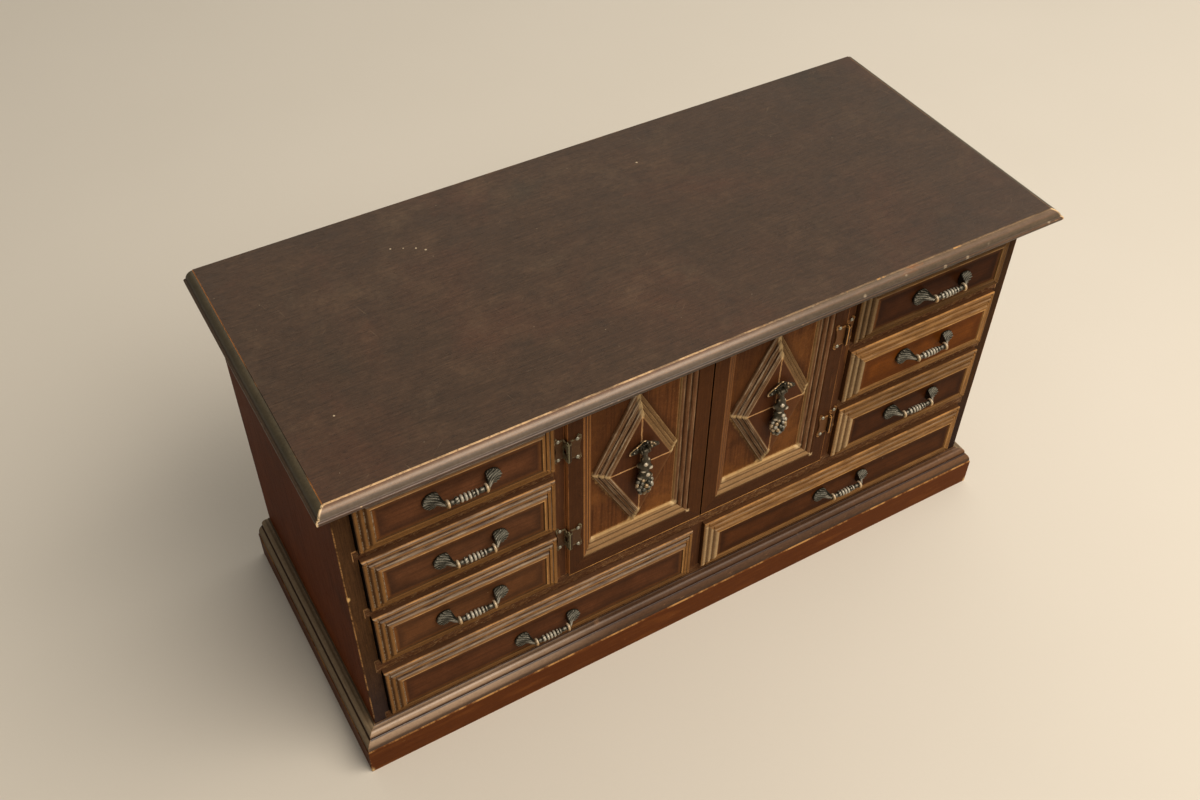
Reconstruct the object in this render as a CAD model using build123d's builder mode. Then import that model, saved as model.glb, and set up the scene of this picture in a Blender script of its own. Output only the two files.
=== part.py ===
from build123d import *
import os

os.makedirs("parts", exist_ok=True)

# ---------------------------------------------------------------- sizes (mm)
# Frame: +X to the right, -Y is the front, +Z up.  Origin on the floor, in the
# middle of the footprint.  Heights in this file are measured from a datum line
# a little over the floor, and save() lifts every piece onto the floor.
foot_z = -2.2            # foot of the plinth and side boards

# top board
top_w = 400.0            # overall width
top_d = 170.8            # overall depth
top_h = 213.3            # top face; 215.5 over the floor
top_t = 6.6              # board thickness
yb = top_d / 2           # back plane of everything
z_under = top_h - top_t  # underside of the top board

# carcass boards
side_x = 191.1           # outer face of the side boards
side_in = 182.7          # inner face of the side boards
face_y = -68.7           # front edges of all carcass boards
back_t = 2.5             # back panel
in_back = yb - back_t    # inner face of the back panel
part_in = 79.5           # partitions between drawers and doors
part_out = 85.7
mid_hw = 3.5             # half width of the short centre partition
dado = 1.8               # how far shelves are let into the side boards

# levels
z_bot0, z_bot1 = 25.6, 31.0       # bottom board
z_deck0, z_deck1 = 68.2, 77.1     # deck over the long drawers
rail_t = 5.8                      # drawer shelves
drawer_h = 36.4                   # height of every drawer front
z_long = 31.4                     # foot of the long drawer fronts
z_small = (77.5, 120.1, 162.7)    # foot of the small drawer fronts

# drawer fronts
front_gap = 0.4          # gap all round a front
front_y = -71.0          # outer edge of the front, proud of the carcass
front_back = -64.0       # back of the front board
band_w = 8.5             # reeded band round the front
panel_y = -74.1          # flat panel inside the band
crest_y = -74.5          # highest reed

# drawer boxes
box_t = 3.2              # side and back boards
box_bot = 2.0            # bottom board
box_gap = 0.5            # side play
box_h = 29.0             # side height
box_back = 76.0          # back end
glue = 0.02              # glue line between boards

# doors
door_in = 0.45           # meeting edge
door_out = 79.1          # hinge edge
door_z0 = 78.0
door_z1 = 206.2
door_y = -71.0           # face of the door frame
door_back = -63.0
rec_y = -66.0            # recessed panel
stile_w = 8.05           # flat part of the frame
rail_w = 9.4
mould_w = 7.1            # reeded slope inside the flat part
loz_y = -71.9            # face of the lozenge block
loz_a, loz_b = 24.05, 47.2
pull_z = 155.2           # swivel of the pendant pulls
pin_y = -75.6

# hinges
hinge_x = 79.3
hinge_y = -72.45
hinge_zs = (108.6, 173.0)
knuckle_r = 1.3
hinge_pin_r = 0.7
knuckle_len = 11.6

# drawer pulls
pull_span = 28.0         # between screw centres
bar_y = -80.5            # axis of the bar
bar_up = 0.8             # bar sits this much over the screws
pull_rise = 1.3          # screws sit this much over the middle of the front

# plinth
plinth_d = 8.5           # thickness of the plinth boards
plinth_top = 25.6


# ---------------------------------------------------------------- outlines
def trace(points):
    """Closed outline.  Each entry is (x, y) for a straight run or
    (mid, end) for an arc."""
    start = points[0]
    p = start
    for s in points[1:]:
        if isinstance(s[0], tuple):
            ThreePointArc(p, s[0], s[1])
            p = s[1]
        else:
            Line(p, s)
            p = s
    if p != start:
        Line(p, start)


# reeds of a drawer front: inset from the edge, height over the outer edge
DRAWER_REEDS = [
    (None, (0.0, 0.35)),
    ((0.75, 1.05), (1.95, 0.95)),
    (None, (2.05, 0.70)),
    (None, (2.70, 0.70)),
    ((3.35, 1.95), (4.65, 2.05)),
    (None, (4.75, 1.75)),
    (None, (5.40, 1.75)),
    ((6.05, 3.20), (7.25, 3.50)),
]
# reeds of the door moulding: inset from its outer line, depth under the frame
DOOR_REEDS = [
    (None, (0.0, 0.45)),
    (None, (0.45, 0.45)),
    ((1.60, 0.55), (2.45, 1.70)),
    (None, (2.95, 1.75)),
    ((4.00, 2.05), (4.70, 3.20)),
    (None, (5.15, 3.25)),
    ((6.30, 3.60), (7.10, 5.00)),
]
# reeds of the lozenge: inset from its foot, height over the recessed panel
LOZENGE_REEDS = [
    (None, (0.0, 0.9)),
    ((0.70, 1.90), (1.85, 2.25)),
    (None, (2.20, 2.25)),
    ((2.80, 3.65), (3.80, 4.10)),
    (None, (4.15, 4.10)),
    ((4.70, 5.45), (5.75, 5.90)),
]


def band(prof, a, b, base, sign, swap):
    """One edge profile and its mirror image: from a inwards, across, and out
    to b.  Heights are measured from base, along sign."""
    def put(s, h, left):
        t = a + s if left else b - s
        y = base + sign * h
        return (y, t) if swap else (t, y)
    out = []
    for mid, end in prof:
        out.append(put(*end, True) if mid is None else
                   (put(*mid, True), put(*end, True)))
    last = prof[-1][1]
    out.append(put(*last, False))
    for i in range(len(prof) - 1, 0, -1):
        mid, prev = prof[i][0], prof[i - 1][1]
        out.append(put(*prev, False) if mid is None else
                   (put(*mid, False), put(*prev, False)))
    return out, put


def raised(prof, a, b, base, back, swap):
    """Outline of a board whose face rises in reeds from both edges."""
    run, put = band(prof, a, b, base, -1, swap)
    s = (back, a) if swap else (a, back)
    e = (back, b) if swap else (b, back)
    trace([s] + run + [e])


def sunk(prof, a, b, base, back, swap):
    """Outline of the space inside a frame whose face falls in reeds."""
    run, put = band(prof, a, b, base, 1, swap)
    front = base - 4
    # outer corners at the face, then down the reeds and through the board
    depth = prof[-1][1]
    left = [(front, a) if swap else (a, front)]
    n = len(prof)
    first, second = run[:n], run[n:]
    far = back + 1
    l2 = (far, a + depth[0]) if swap else (a + depth[0], far)
    r2 = (far, b - depth[0]) if swap else (b - depth[0], far)
    end = (front, b) if swap else (b, front)
    trace(left + first + [l2, r2] + second + [end])


def save(bp, name):
    piece = bp.part.moved(Location((0, 0, -foot_z)))
    piece.label = name
    export_step(piece, "parts/" + name + ".step")


# ---------------------------------------------------------------- top board
# Fixed board with a thumbnail edge on the front and both ends, mitred at the
# corners; the back edge is square.
def top_outline(a, b, both, swap):
    def q(t, z):
        return (t, z)
    pts = [q(a + 1.6, z_under), (q(a + 0.45, z_under + 0.45), q(a, z_under + 1.3)),
           q(a, z_under + 2.3), q(a + 0.3, z_under + 2.6),
           q(a + 1.15, z_under + 2.85), q(a + 1.3, z_under + 3.25),
           (q(a + 2.55, z_under + 5.25), q(a + 5.0, z_under + 6.25)),
           q(a + 5.3, z_under + 6.3), q(a + 5.35, z_under + top_t)]
    if both:
        pts += [q(b - 5.35, z_under + top_t), q(b - 5.3, z_under + 6.3),
                q(b - 5.0, z_under + 6.25),
                (q(b - 2.55, z_under + 5.25), q(b - 1.3, z_under + 3.25)),
                q(b - 1.15, z_under + 2.85), q(b - 0.3, z_under + 2.6),
                q(b, z_under + 2.3), q(b, z_under + 1.3),
                (q(b - 0.45, z_under + 0.45), q(b - 1.6, z_under))]
    else:
        pts += [q(b, z_under + top_t), q(b, z_under)]
    trace(pts)


with BuildPart() as top_board:
    with BuildSketch(Plane.YZ.offset(-top_w / 2)):
        with BuildLine():
            top_outline(-yb, yb, False, False)
        make_face()
    extrude(amount=top_w)
    with BuildSketch(Plane.XZ.offset(-yb)):
        with BuildLine():
            top_outline(-top_w / 2, top_w / 2, True, False)
        make_face()
    extrude(amount=top_d, mode=Mode.INTERSECT)
save(top_board, "top_board")

# ---------------------------------------------------------------- side boards
shelf_z = [(z_bot0, z_bot1), (z_deck0, z_deck1)]
for zs in z_small[1:]:
    shelf_z.append((zs - front_gap - rail_t, zs - front_gap))

for s, name in ((-1, "side_board_left"), (1, "side_board_right")):
    xc = s * (side_x + side_in) / 2
    with BuildPart() as side_board:
        with Locations((xc, (face_y + yb) / 2, (foot_z + z_under) / 2)):
            Box(side_x - side_in, yb - face_y, z_under - foot_z)
        # housings for the shelves, open at the front edge
        for z0, z1 in shelf_z:
            with Locations((s * (side_in + dado / 2 + 0.05), (face_y + in_back) / 2, (z0 + z1) / 2)):
                Box(dado + 0.1, in_back - face_y, z1 - z0 + 0.12, mode=Mode.SUBTRACT)
        # softened front corner
        fillet(side_board.edges().filter_by(Axis.Z).group_by(Axis.Y)[0]
               .sort_by(Axis.X)[0 if s < 0 else -1], radius=0.5)
    save(side_board, name)

# ---------------------------------------------------------------- back panel
with BuildPart() as back_panel:
    with Locations((0, yb - back_t / 2, (z_bot0 - 6 + z_under) / 2)):
        Box(2 * side_in - 0.1, back_t, z_under - (z_bot0 - 6))
save(back_panel, "back_panel")

# ---------------------------------------------------------------- shelves
for name, z0, z1 in (("bottom_board", z_bot0, z_bot1), ("main_deck", z_deck0, z_deck1)):
    with BuildPart() as shelf:
        with Locations((0, (face_y + in_back) / 2, (z0 + z1) / 2)):
            Box(2 * (side_in + dado), in_back - face_y, z1 - z0)
    save(shelf, name)

for s, name in ((-1, "drawer_shelves_left"), (1, "drawer_shelves_right")):
    with BuildPart() as shelves:
        for z0, z1 in shelf_z[2:]:
            with Locations((s * (part_out + side_in + dado) / 2, (face_y + in_back) / 2, (z0 + z1) / 2)):
                Box(side_in + dado - part_out, in_back - face_y, z1 - z0)
    save(shelves, name)

# strips that close the space over the top drawers
with BuildPart() as top_rails:
    z0 = z_small[2] + drawer_h + front_gap
    for s in (-1, 1):
        with Locations((s * (part_out + side_in) / 2, face_y + 7, (z0 + z_under) / 2)):
            Box(side_in - part_out, 14, z_under - z0)
save(top_rails, "top_rails")

# ---------------------------------------------------------------- partitions
for s, name in ((-1, "partition_left"), (1, "partition_right")):
    with BuildPart() as partition:
        with Locations((s * (part_in + part_out) / 2, (face_y + in_back) / 2, (z_deck1 + z_under) / 2)):
            Box(part_out - part_in, in_back - face_y, z_under - z_deck1)
    save(partition, name)

with BuildPart() as centre_partition:
    with Locations((0, (face_y + in_back) / 2, (z_bot1 + z_deck0) / 2)):
        Box(2 * mid_hw, in_back - face_y, z_deck0 - z_bot1)
save(centre_partition, "centre_partition")

# ---------------------------------------------------------------- plinth
# Board with two beads on its upper edge; d is the distance out from the
# carcass face.
def plinth_outline(sign, base):
    def q(d, z):
        return (base + sign * d, z)
    trace([q(0, foot_z), q(plinth_d, foot_z), q(plinth_d, 15.5), q(8.25, 16.0),
           q(7.95, 16.15), (q(7.45, 19.2), q(5.55, 21.6)),
           q(5.2, 21.75), q(5.0, 22.35), (q(4.35, 24.75), q(2.1, 25.35)),
           q(1.2, 25.3), q(0.9, plinth_top), q(0, plinth_top)])


with BuildPart() as plinth_front:
    with BuildSketch(Plane.YZ.offset(-side_x - plinth_d)):
        with BuildLine():
            plinth_outline(-1, face_y)
        make_face()
    extrude(amount=2 * (side_x + plinth_d))
    for s in (-1, 1):
        with BuildSketch(Plane.XY.offset(foot_z - 1)):
            with BuildLine():
                trace([(s * (side_x - 0.01), face_y), (s * (side_x + plinth_d + 5 - 0.01), face_y - plinth_d - 5),
                       (s * (side_x + 30), face_y - plinth_d - 5), (s * (side_x + 30), face_y + 5),
                       (s * (side_x - 0.01), face_y + 5)])
            make_face()
        extrude(amount=40, mode=Mode.SUBTRACT)
save(plinth_front, "plinth_front")

for s, name in ((-1, "plinth_left"), (1, "plinth_right")):
    with BuildPart() as plinth_side:
        with BuildSketch(Plane.XZ.offset(-yb)):
            with BuildLine():
                plinth_outline(s, s * side_x)
            make_face()
        extrude(amount=yb - face_y + plinth_d)
        with BuildSketch(Plane.XY.offset(foot_z - 1)):
            with BuildLine():
                trace([(s * side_x, face_y - 0.01), (s * (side_x + plinth_d + 5), face_y - plinth_d - 5 - 0.01),
                       (s * (side_x + plinth_d + 5), face_y - plinth_d - 20),
                       (s * (side_x - 20), face_y - plinth_d - 20), (s * (side_x - 20), face_y - 0.01)])
            make_face()
        extrude(amount=40, mode=Mode.SUBTRACT)
    save(plinth_side, name)

# ---------------------------------------------------------------- centre bay
# felt sheets on the floor, the back and both sides
felt = 0.8
with BuildPart() as compartment_lining:
    fz0, fz1 = z_deck1, 196.0
    fy0, fy1 = -61.5, in_back
    with Locations((0, (fy0 + fy1) / 2, fz0 + felt / 2)):
        Box(2 * part_in, fy1 - fy0, felt)
    with Locations((0, fy1 - felt / 2, (fz0 + felt + glue + fz1) / 2)):
        Box(2 * part_in, felt, fz1 - fz0 - felt - glue)
    for s in (-1, 1):
        with Locations((s * (part_in - felt / 2), (fy0 + fy1 - felt - glue) / 2, (fz0 + felt + glue + fz1) / 2)):
            Box(felt, fy1 - fy0 - felt - glue, fz1 - fz0 - felt - glue)
save(compartment_lining, "compartment_lining")

# strip the doors close against
with BuildPart() as door_stop:
    with Locations((0, -62.6 + 4, (197.0 + z_under) / 2)):
        Box(2 * part_in, 8, z_under - 197.0)
save(door_stop, "door_stop")

# strip with hooks for necklaces
hook_xs = [-55, -33, -11, 11, 33, 55]
rail_y = in_back - felt
with BuildPart() as necklace_rail:
    with Locations((0, rail_y - 3.0, 188.0)):
        Box(140, 6, 12)
    for x in hook_xs:
        with Locations(Location((x, rail_y - 6, 188.0), (90, 0, 0))):
            Hole(radius=0.9, depth=5)
save(necklace_rail, "necklace_rail")

with BuildPart() as necklace_hooks:
    for x in hook_xs:
        hy = rail_y - 6
        with BuildLine() as hook_line:
            l1 = Line((x, hy + 4.5, 188.0), (x, hy - 5.0, 188.0))
            l2 = ThreePointArc(l1 @ 1, (x, hy - 5.0 - 4.0, 184.0), (x, hy - 5.0, 180.0))
            l3 = ThreePointArc(l2 @ 1, (x, hy - 3.2, 180.5), (x, hy - 1.8, 182.0))
        with BuildSketch(Plane(origin=(x, hy + 4.5, 188.0), x_dir=(1, 0, 0), z_dir=(0, -1, 0))):
            Circle(0.9)
        sweep(path=hook_line.line)
        with BuildSketch(Plane(origin=(x, hy - 0.02, 188.0), x_dir=(1, 0, 0), z_dir=(0, -1, 0))):
            Circle(2.2)
        extrude(amount=0.9)
save(necklace_hooks, "necklace_hooks")


# ---------------------------------------------------------------- drawers
small_x = (part_out + front_gap, side_in - front_gap)
long_x = (mid_hw + front_gap, side_in - front_gap)
drawers = []
for side, s in (("left", -1), ("right", 1)):
    for level, z0 in (("bottom", z_long), ("lower", z_small[0]), ("middle", z_small[1]), ("upper", z_small[2])):
        a, b = long_x if level == "bottom" else small_x
        if s < 0:
            a, b = -b, -a
        drawers.append(("drawer_" + side + "_" + level, a, b, z0))

for name, xa, xb, z0 in drawers:
    z1 = z0 + drawer_h
    xc, zc = (xa + xb) / 2, z0 + drawer_h / 2
    zp = zc + pull_rise

    # front board with its reeded band and the flat panel
    with BuildPart() as front:
        with BuildSketch(Plane.YZ.offset(xa)):
            with BuildLine():
                raised(DRAWER_REEDS, z0, z1, front_y, front_back, True)
            make_face()
        extrude(amount=xb - xa)
        with BuildSketch(Plane.XY.offset(z0)):
            with BuildLine():
                raised(DRAWER_REEDS, xa, xb, front_y, front_back, False)
            make_face()
        extrude(amount=z1 - z0, mode=Mode.INTERSECT)
        # sunk flat panel
        with BuildSketch(Plane.XZ.offset(-panel_y)):
            with Locations((xc, zc)):
                Rectangle(xb - xa - 2 * 8.1, drawer_h - 2 * 8.1)
        extrude(amount=3, taper=-45, mode=Mode.SUBTRACT)
        # screw holes
        for dx in (-pull_span / 2, pull_span / 2):
            with Locations(Location((xc + dx, front_back, zp), (-90, 0, 0))):
                Hole(radius=1.0, depth=14)
    save(front, name + "_front")

    # box: two sides, back and bottom
    ba, bb = xa - front_gap + box_gap + 0.1, xb + front_gap - box_gap - 0.1
    bz0 = z0 - front_gap + 0.3
    y0 = front_back + glue
    with BuildPart() as box:
        for x in (ba + box_t / 2, bb - box_t / 2):
            with Locations((x, (y0 + box_back) / 2, bz0 + box_h / 2)):
                Box(box_t, box_back - y0, box_h)
        with Locations((xc, box_back - box_t / 2, bz0 + (box_h - 2) / 2)):
            Box(bb - ba - 2 * box_t - 2 * glue, box_t, box_h - 2)
        with Locations((xc, (y0 + box_back - box_t - glue) / 2, bz0 + 0.6 + box_bot / 2)):
            Box(bb - ba - 2 * box_t - 2 * glue, box_back - box_t - glue - y0, box_bot)
    save(box, name + "_box")

    # cast pull with its two screws
    with BuildPart() as pull:
        for dx in (-1, 1):
            px = xc + dx * pull_span / 2
            # domed rosette
            with BuildSketch(Plane(origin=(px, panel_y, zp), x_dir=(1, 0, 0), z_dir=(0, 0, 1))):
                with BuildLine():
                    trace([(0, 0), (4.3, 0), (4.3, -0.5), ((3.2, -1.75), (0.6, -2.5)), (0, -2.5)])
                make_face()
            revolve(axis=Axis((px, panel_y, zp), (0, 1, 0)))
            # arm curving out to the bar
            with BuildLine() as arm:
                ThreePointArc((px + dx * 0.4, panel_y - 1.2, zp), (px - dx * 0.9, bar_y + 2.6, zp + bar_up * 0.7),
                              (px - dx * 3.6, bar_y, zp + bar_up))
            with BuildSketch(Plane(origin=arm.line @ 0, z_dir=arm.line % 0)):
                Circle(1.45)
            sweep(path=arm.line)
        # turned bar
        half = pull_span / 2 - 3.4
        with BuildSketch(Plane(origin=(xc, bar_y, zp + bar_up), x_dir=(1, 0, 0), z_dir=(0, 0, 1))):
            with BuildLine():
                trace([(-half, 0), (-half, 1.45), ((-half + 1.3, 1.8), (-half + 2.6, 1.15)),
                       ((-half + 3.8, 1.75), (-half + 5.0, 1.1)),
                       ((0, 1.75), (half - 5.0, 1.1)), ((half - 3.8, 1.75), (half - 2.6, 1.15)),
                       ((half - 1.3, 1.8), (half, 1.45)), (half, 0)])
            make_face()
        revolve(axis=Axis((xc, bar_y, zp + bar_up), (1, 0, 0)))
        # threaded sockets, then the screws themselves
        for dx in (-1, 1):
            px = xc + dx * pull_span / 2
            with Locations(Location((px, panel_y, zp), (-90, 0, 0))):
                Hole(radius=0.92, depth=1.6)
        for dx in (-1, 1):
            px = xc + dx * pull_span / 2
            with Locations(Location((px, (panel_y - 1.5 + front_back) / 2, zp), (90, 0, 0))):
                Cylinder(radius=0.9, height=front_back - panel_y + 1.5)
            with BuildSketch(Plane(origin=(px, front_back, zp), x_dir=(1, 0, 0), z_dir=(0, 0, 1))):
                with BuildLine():
                    trace([(0, 0.0), (2.3, 0.0), (2.3, 0.4), ((1.6, 1.15), (0.5, 1.4)), (0, 1.4)])
                make_face()
            revolve(axis=Axis((px, front_back, zp), (0, 1, 0)))
    save(pull, name + "_pull")

# ---------------------------------------------------------------- doors
for side, s in (("left", -1), ("right", 1)):
    xa, xb = (door_in, door_out) if s > 0 else (-door_out, -door_in)
    xc, zc = (xa + xb) / 2, (door_z0 + door_z1) / 2
    ma, mb = xa + stile_w, xb - stile_w          # outer line of the moulding
    mz0, mz1 = door_z0 + rail_w, door_z1 - rail_w
    ha, hb = ma + mould_w, mb - mould_w          # the recessed panel
    hz0, hz1 = mz0 + mould_w, mz1 - mould_w

    # the moulded ring, then its four mitred members
    with BuildPart() as opening:
        with BuildSketch(Plane.YZ.offset(xa)):
            with BuildLine():
                sunk(DOOR_REEDS, mz0, mz1, door_y, door_back, True)
            make_face()
        extrude(amount=xb - xa)
        with BuildSketch(Plane.XY.offset(door_z0)):
            with BuildLine():
                sunk(DOOR_REEDS, ma, mb, door_y, door_back, False)
            make_face()
        extrude(amount=door_z1 - door_z0, mode=Mode.INTERSECT)

    with BuildPart() as frame:
        with BuildSketch(Plane.XZ.offset(-door_y)):
            g = glue
            q = stile_w + mould_w + 6
            r = rail_w + mould_w + 6
            for pts in ([(xa, door_z0 + g), (xa + q, door_z0 + r + g), (xa + q, door_z1 - r - g), (xa, door_z1 - g)],
                        [(xb, door_z0 + g), (xb - q, door_z0 + r + g), (xb - q, door_z1 - r - g), (xb, door_z1 - g)],
                        [(xa + g, door_z0), (xb - g, door_z0), (xb - q - g, door_z0 + r), (xa + q + g, door_z0 + r)],
                        [(xa + g, door_z1), (xb - g, door_z1), (xb - q - g, door_z1 - r), (xa + q + g, door_z1 - r)]):
                with BuildLine():
                    trace(pts)
                make_face()
        extrude(amount=door_y - door_back)
        add(opening.part, mode=Mode.SUBTRACT)
    save(frame, "door_" + side + "_frame")

    with BuildPart() as panel:
        with Locations((xc, (rec_y + door_back) / 2, (hz0 + hz1) / 2)):
            Box(hb - ha - 2 * glue, door_back - rec_y, hz1 - hz0 - 2 * glue)
        with Locations(Location((xc, door_back, pull_z + 2.6), (-90, 0, 0))):
            Hole(radius=0.9, depth=8)
    save(panel, "door_" + side + "_panel")

    # lozenge block
    ll = (loz_a ** 2 + loz_b ** 2) ** 0.5
    w = loz_a * loz_b / ll
    with BuildPart() as lozenge:
        first = True
        for sgn in (1, -1):
            pl = Plane(origin=(xc, 0, zc), x_dir=(loz_b / ll, 0, -sgn * loz_a / ll),
                       z_dir=(sgn * loz_a / ll, 0, loz_b / ll))
            if sgn < 0:
                pl = Plane(origin=(xc, 0, zc), x_dir=(loz_b / ll, 0, loz_a / ll),
                           z_dir=(-loz_a / ll, 0, loz_b / ll))
            with BuildSketch(pl):
                with BuildLine():
                    raised(LOZENGE_REEDS, -w, w, rec_y, rec_y - glue, False)
                make_face()
            extrude(amount=90, both=True, mode=Mode.ADD if first else Mode.INTERSECT)
            first = False
        # thin lines scratched from corner to corner
        with Locations((xc, loz_y, zc)):
            Box(2 * 16.6, 0.5, 0.45, mode=Mode.SUBTRACT)
            Box(0.45, 0.5, 2 * 32.2, mode=Mode.SUBTRACT)
        with Locations(Location((xc, door_back, pull_z + 2.6), (-90, 0, 0))):
            Hole(radius=0.9, depth=20)
    save(lozenge, "door_" + side + "_lozenge")

    # vine-leaf plate of the pendant pull: leaf, two ears, swivel pin, stud, nut
    with BuildPart() as leaf:
        lp = Plane(origin=(xc, loz_y, pull_z), x_dir=(1, 0, 0), z_dir=(0, -1, 0))
        with BuildSketch(lp):
            with BuildLine():
                trace([(0, -2.6), ((3.6, -2.2), (4.6, -0.4)), (8.3, -0.2), ((7.4, 2.4), (5.0, 3.2)),
                       (3.4, 6.2), (1.6, 4.9), (0, 7.2), (-1.6, 4.9), (-3.4, 6.2), (-5.0, 3.2),
                       ((-7.4, 2.4), (-8.3, -0.2)), (-4.6, -0.4), ((-3.6, -2.2), (0, -2.6))])
            make_face()
        extrude(amount=1.3)
        for dx in (-2.15, 2.15):
            with Locations((xc + dx, (loz_y + pin_y) / 2 - 0.5, pull_z)):
                Box(0.9, loz_y - pin_y + 1.0, 2.2)
        with Locations(Location((xc, pin_y, pull_z), (0, 90, 0))):
            Cylinder(radius=0.5, height=5.6)
        with Locations(Location((xc, (loz_y + door_back) / 2, pull_z + 2.6), (90, 0, 0))):
            Cylinder(radius=0.85, height=door_back - loz_y + 0.2)
        with Locations(Location((xc, door_back + 0.6, pull_z + 2.6), (90, 0, 0))):
            Cylinder(radius=2.3, height=1.2)
    save(leaf, "door_" + side + "_pull_leaf")

    # hanging drop: eye, stem with two knops, cluster
    with BuildPart() as drop:
        with BuildSketch(Plane(origin=(xc, pin_y, pull_z), x_dir=(1, 0, 0), z_dir=(0, -1, 0))):
            with BuildLine():
                trace([(0, -31.6), (0.6, -31.6), ((2.6, -30.2), (3.4, -27.4)), ((5.0, -22.6), (4.0, -17.6)),
                       ((2.9, -14.9), (1.5, -13.6)), ((2.7, -11.2), (1.35, -8.6)), ((2.4, -6.4), (1.1, -4.0)),
                       (1.0, -0.3), (0, -0.3)])
            make_face()
        revolve(axis=Axis((xc, pin_y, pull_z), (0, 0, 1)))
        # flat back and front, so that the drop hangs just clear of the block
        with Locations((xc, loz_y - 0.45 - 3.55, pull_z - 16)):
            Box(14, 7.1, 40, mode=Mode.INTERSECT)
        with Locations(Location((xc, pin_y, pull_z), (0, 90, 0))):
            Cylinder(radius=1.35, height=3.1)
        with Locations(Location((xc, pin_y, pull_z), (0, 90, 0))):
            Cylinder(radius=0.56, height=5, mode=Mode.SUBTRACT)
    save(drop, "door_" + side + "_drop")

# ---------------------------------------------------------------- hinges
seg = (knuckle_len - 0.2 - 4.0) / 2


def leaf_outline(s, x0, reach, z, h0, h1):
    """Butterfly leaf: narrow at the knuckle, flared at its outer end."""
    trace([(x0, z - h0), (x0 + s * reach * 0.45, z - h0 - 0.2), (x0 + s * reach * 0.8, z - h1),
           (x0 + s * reach, z - h1 + 1.2), (x0 + s * (reach - 0.9), z), (x0 + s * reach, z + h1 - 1.2),
           (x0 + s * reach * 0.8, z + h1), (x0 + s * reach * 0.45, z + h0 + 0.2), (x0, z + h0)])


with BuildPart() as carcass_leaves:
    for s in (-1, 1):
        for z in hinge_zs:
            # plate on the partition's front edge
            with BuildSketch(Plane.XZ.offset(-face_y)):
                with BuildLine():
                    leaf_outline(s, s * (hinge_x + 0.7), 5.3, z, knuckle_len / 2, 8.4)
                make_face()
            extrude(amount=0.7)
            for dz in (-1, 1):
                zz = z + dz * (knuckle_len / 2 - seg / 2)
                # step out to the knuckle
                with Locations((s * (hinge_x + 1.0), (face_y + hinge_y) / 2, zz)):
                    Box(0.6, face_y - hinge_y, seg)
                with Locations((s * hinge_x, hinge_y, zz)):
                    Cylinder(radius=knuckle_r, height=seg)
            with Locations((s * hinge_x, hinge_y, z)):
                Cylinder(radius=hinge_pin_r, height=knuckle_len + 2, mode=Mode.SUBTRACT)
            # nail holes
            for dz in (-6.1, 6.1):
                with Locations(Location((s * (hinge_x + 4.0), face_y, z + dz), (90, 0, 0))):
                    Cylinder(radius=0.45, height=4, mode=Mode.SUBTRACT)
save(carcass_leaves, "hinge_leaves_carcass")

with BuildPart() as hinge_pins:
    for s in (-1, 1):
        for z in hinge_zs:
            with Locations((s * hinge_x, hinge_y, z)):
                Cylinder(radius=hinge_pin_r, height=knuckle_len)
            for dz in (-1, 1):
                with Locations((s * hinge_x, hinge_y, z + dz * (knuckle_len / 2 + 0.4))):
                    Cylinder(radius=1.0, height=0.8)
save(hinge_pins, "hinge_pins")

with BuildPart() as carcass_nails:
    for s in (-1, 1):
        for z in hinge_zs:
            for dz in (-6.1, 6.1):
                px = s * (hinge_x + 4.0)
                with BuildSketch(Plane(origin=(px, face_y - 0.7, z + dz), x_dir=(1, 0, 0), z_dir=(0, 0, 1))):
                    with BuildLine():
                        trace([(0, 0), (1.0, 0), (1.0, -0.12), ((0.72, -0.48), (0.2, -0.62)), (0, -0.62)])
                    make_face()
                revolve(axis=Axis((px, face_y, z + dz), (0, 1, 0)))
                with Locations(Location((px, face_y - 0.35, z + dz), (90, 0, 0))):
                    Cylinder(radius=0.42, height=0.66)
save(carcass_nails, "hinge_nails_carcass")

for side, s in (("left", -1), ("right", 1)):
    with BuildPart() as door_leaves:
        for z in hinge_zs:
            with BuildSketch(Plane.XZ.offset(-door_y)):
                with BuildLine():
                    leaf_outline(-s, s * (hinge_x - 0.9), 6.2, z, knuckle_len / 2, 8.4)
                make_face()
            extrude(amount=0.7)
            with Locations((s * (hinge_x - 0.6), door_y - 0.35 - 0.1, z)):
                Box(1.2, 0.7, 4.0)
            with Locations((s * hinge_x, hinge_y, z)):
                Cylinder(radius=knuckle_r, height=4.0)
                Cylinder(radius=hinge_pin_r + 0.05, height=8, mode=Mode.SUBTRACT)
            # clear of the fixed knuckles
            for dz in (-1, 1):
                with Locations((s * hinge_x, hinge_y, z + dz * (2.0 + 0.1 + 4))):
                    Cylinder(radius=knuckle_r + 0.15, height=8, mode=Mode.SUBTRACT)
            for dz in (-6.1, 6.1):
                with Locations(Location((s * (hinge_x - 4.9), door_y, z + dz), (90, 0, 0))):
                    Cylinder(radius=0.45, height=4, mode=Mode.SUBTRACT)
    save(door_leaves, "door_" + side + "_hinge_leaves")

    with BuildPart() as door_nails:
        for z in hinge_zs:
            for dz in (-6.1, 6.1):
                px = s * (hinge_x - 4.9)
                with BuildSketch(Plane(origin=(px, door_y - 0.7, z + dz), x_dir=(1, 0, 0), z_dir=(0, 0, 1))):
                    with BuildLine():
                        trace([(0, 0), (1.0, 0), (1.0, -0.12), ((0.72, -0.48), (0.2, -0.62)), (0, -0.62)])
                    make_face()
                revolve(axis=Axis((px, door_y, z + dz), (0, 1, 0)))
                with Locations(Location((px, door_y - 0.35, z + dz), (90, 0, 0))):
                    Cylinder(radius=0.42, height=0.66)
    save(door_nails, "door_" + side + "_hinge_nails")
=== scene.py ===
import math
import random

import bmesh
import bpy
from mathutils import Matrix, Vector


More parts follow.
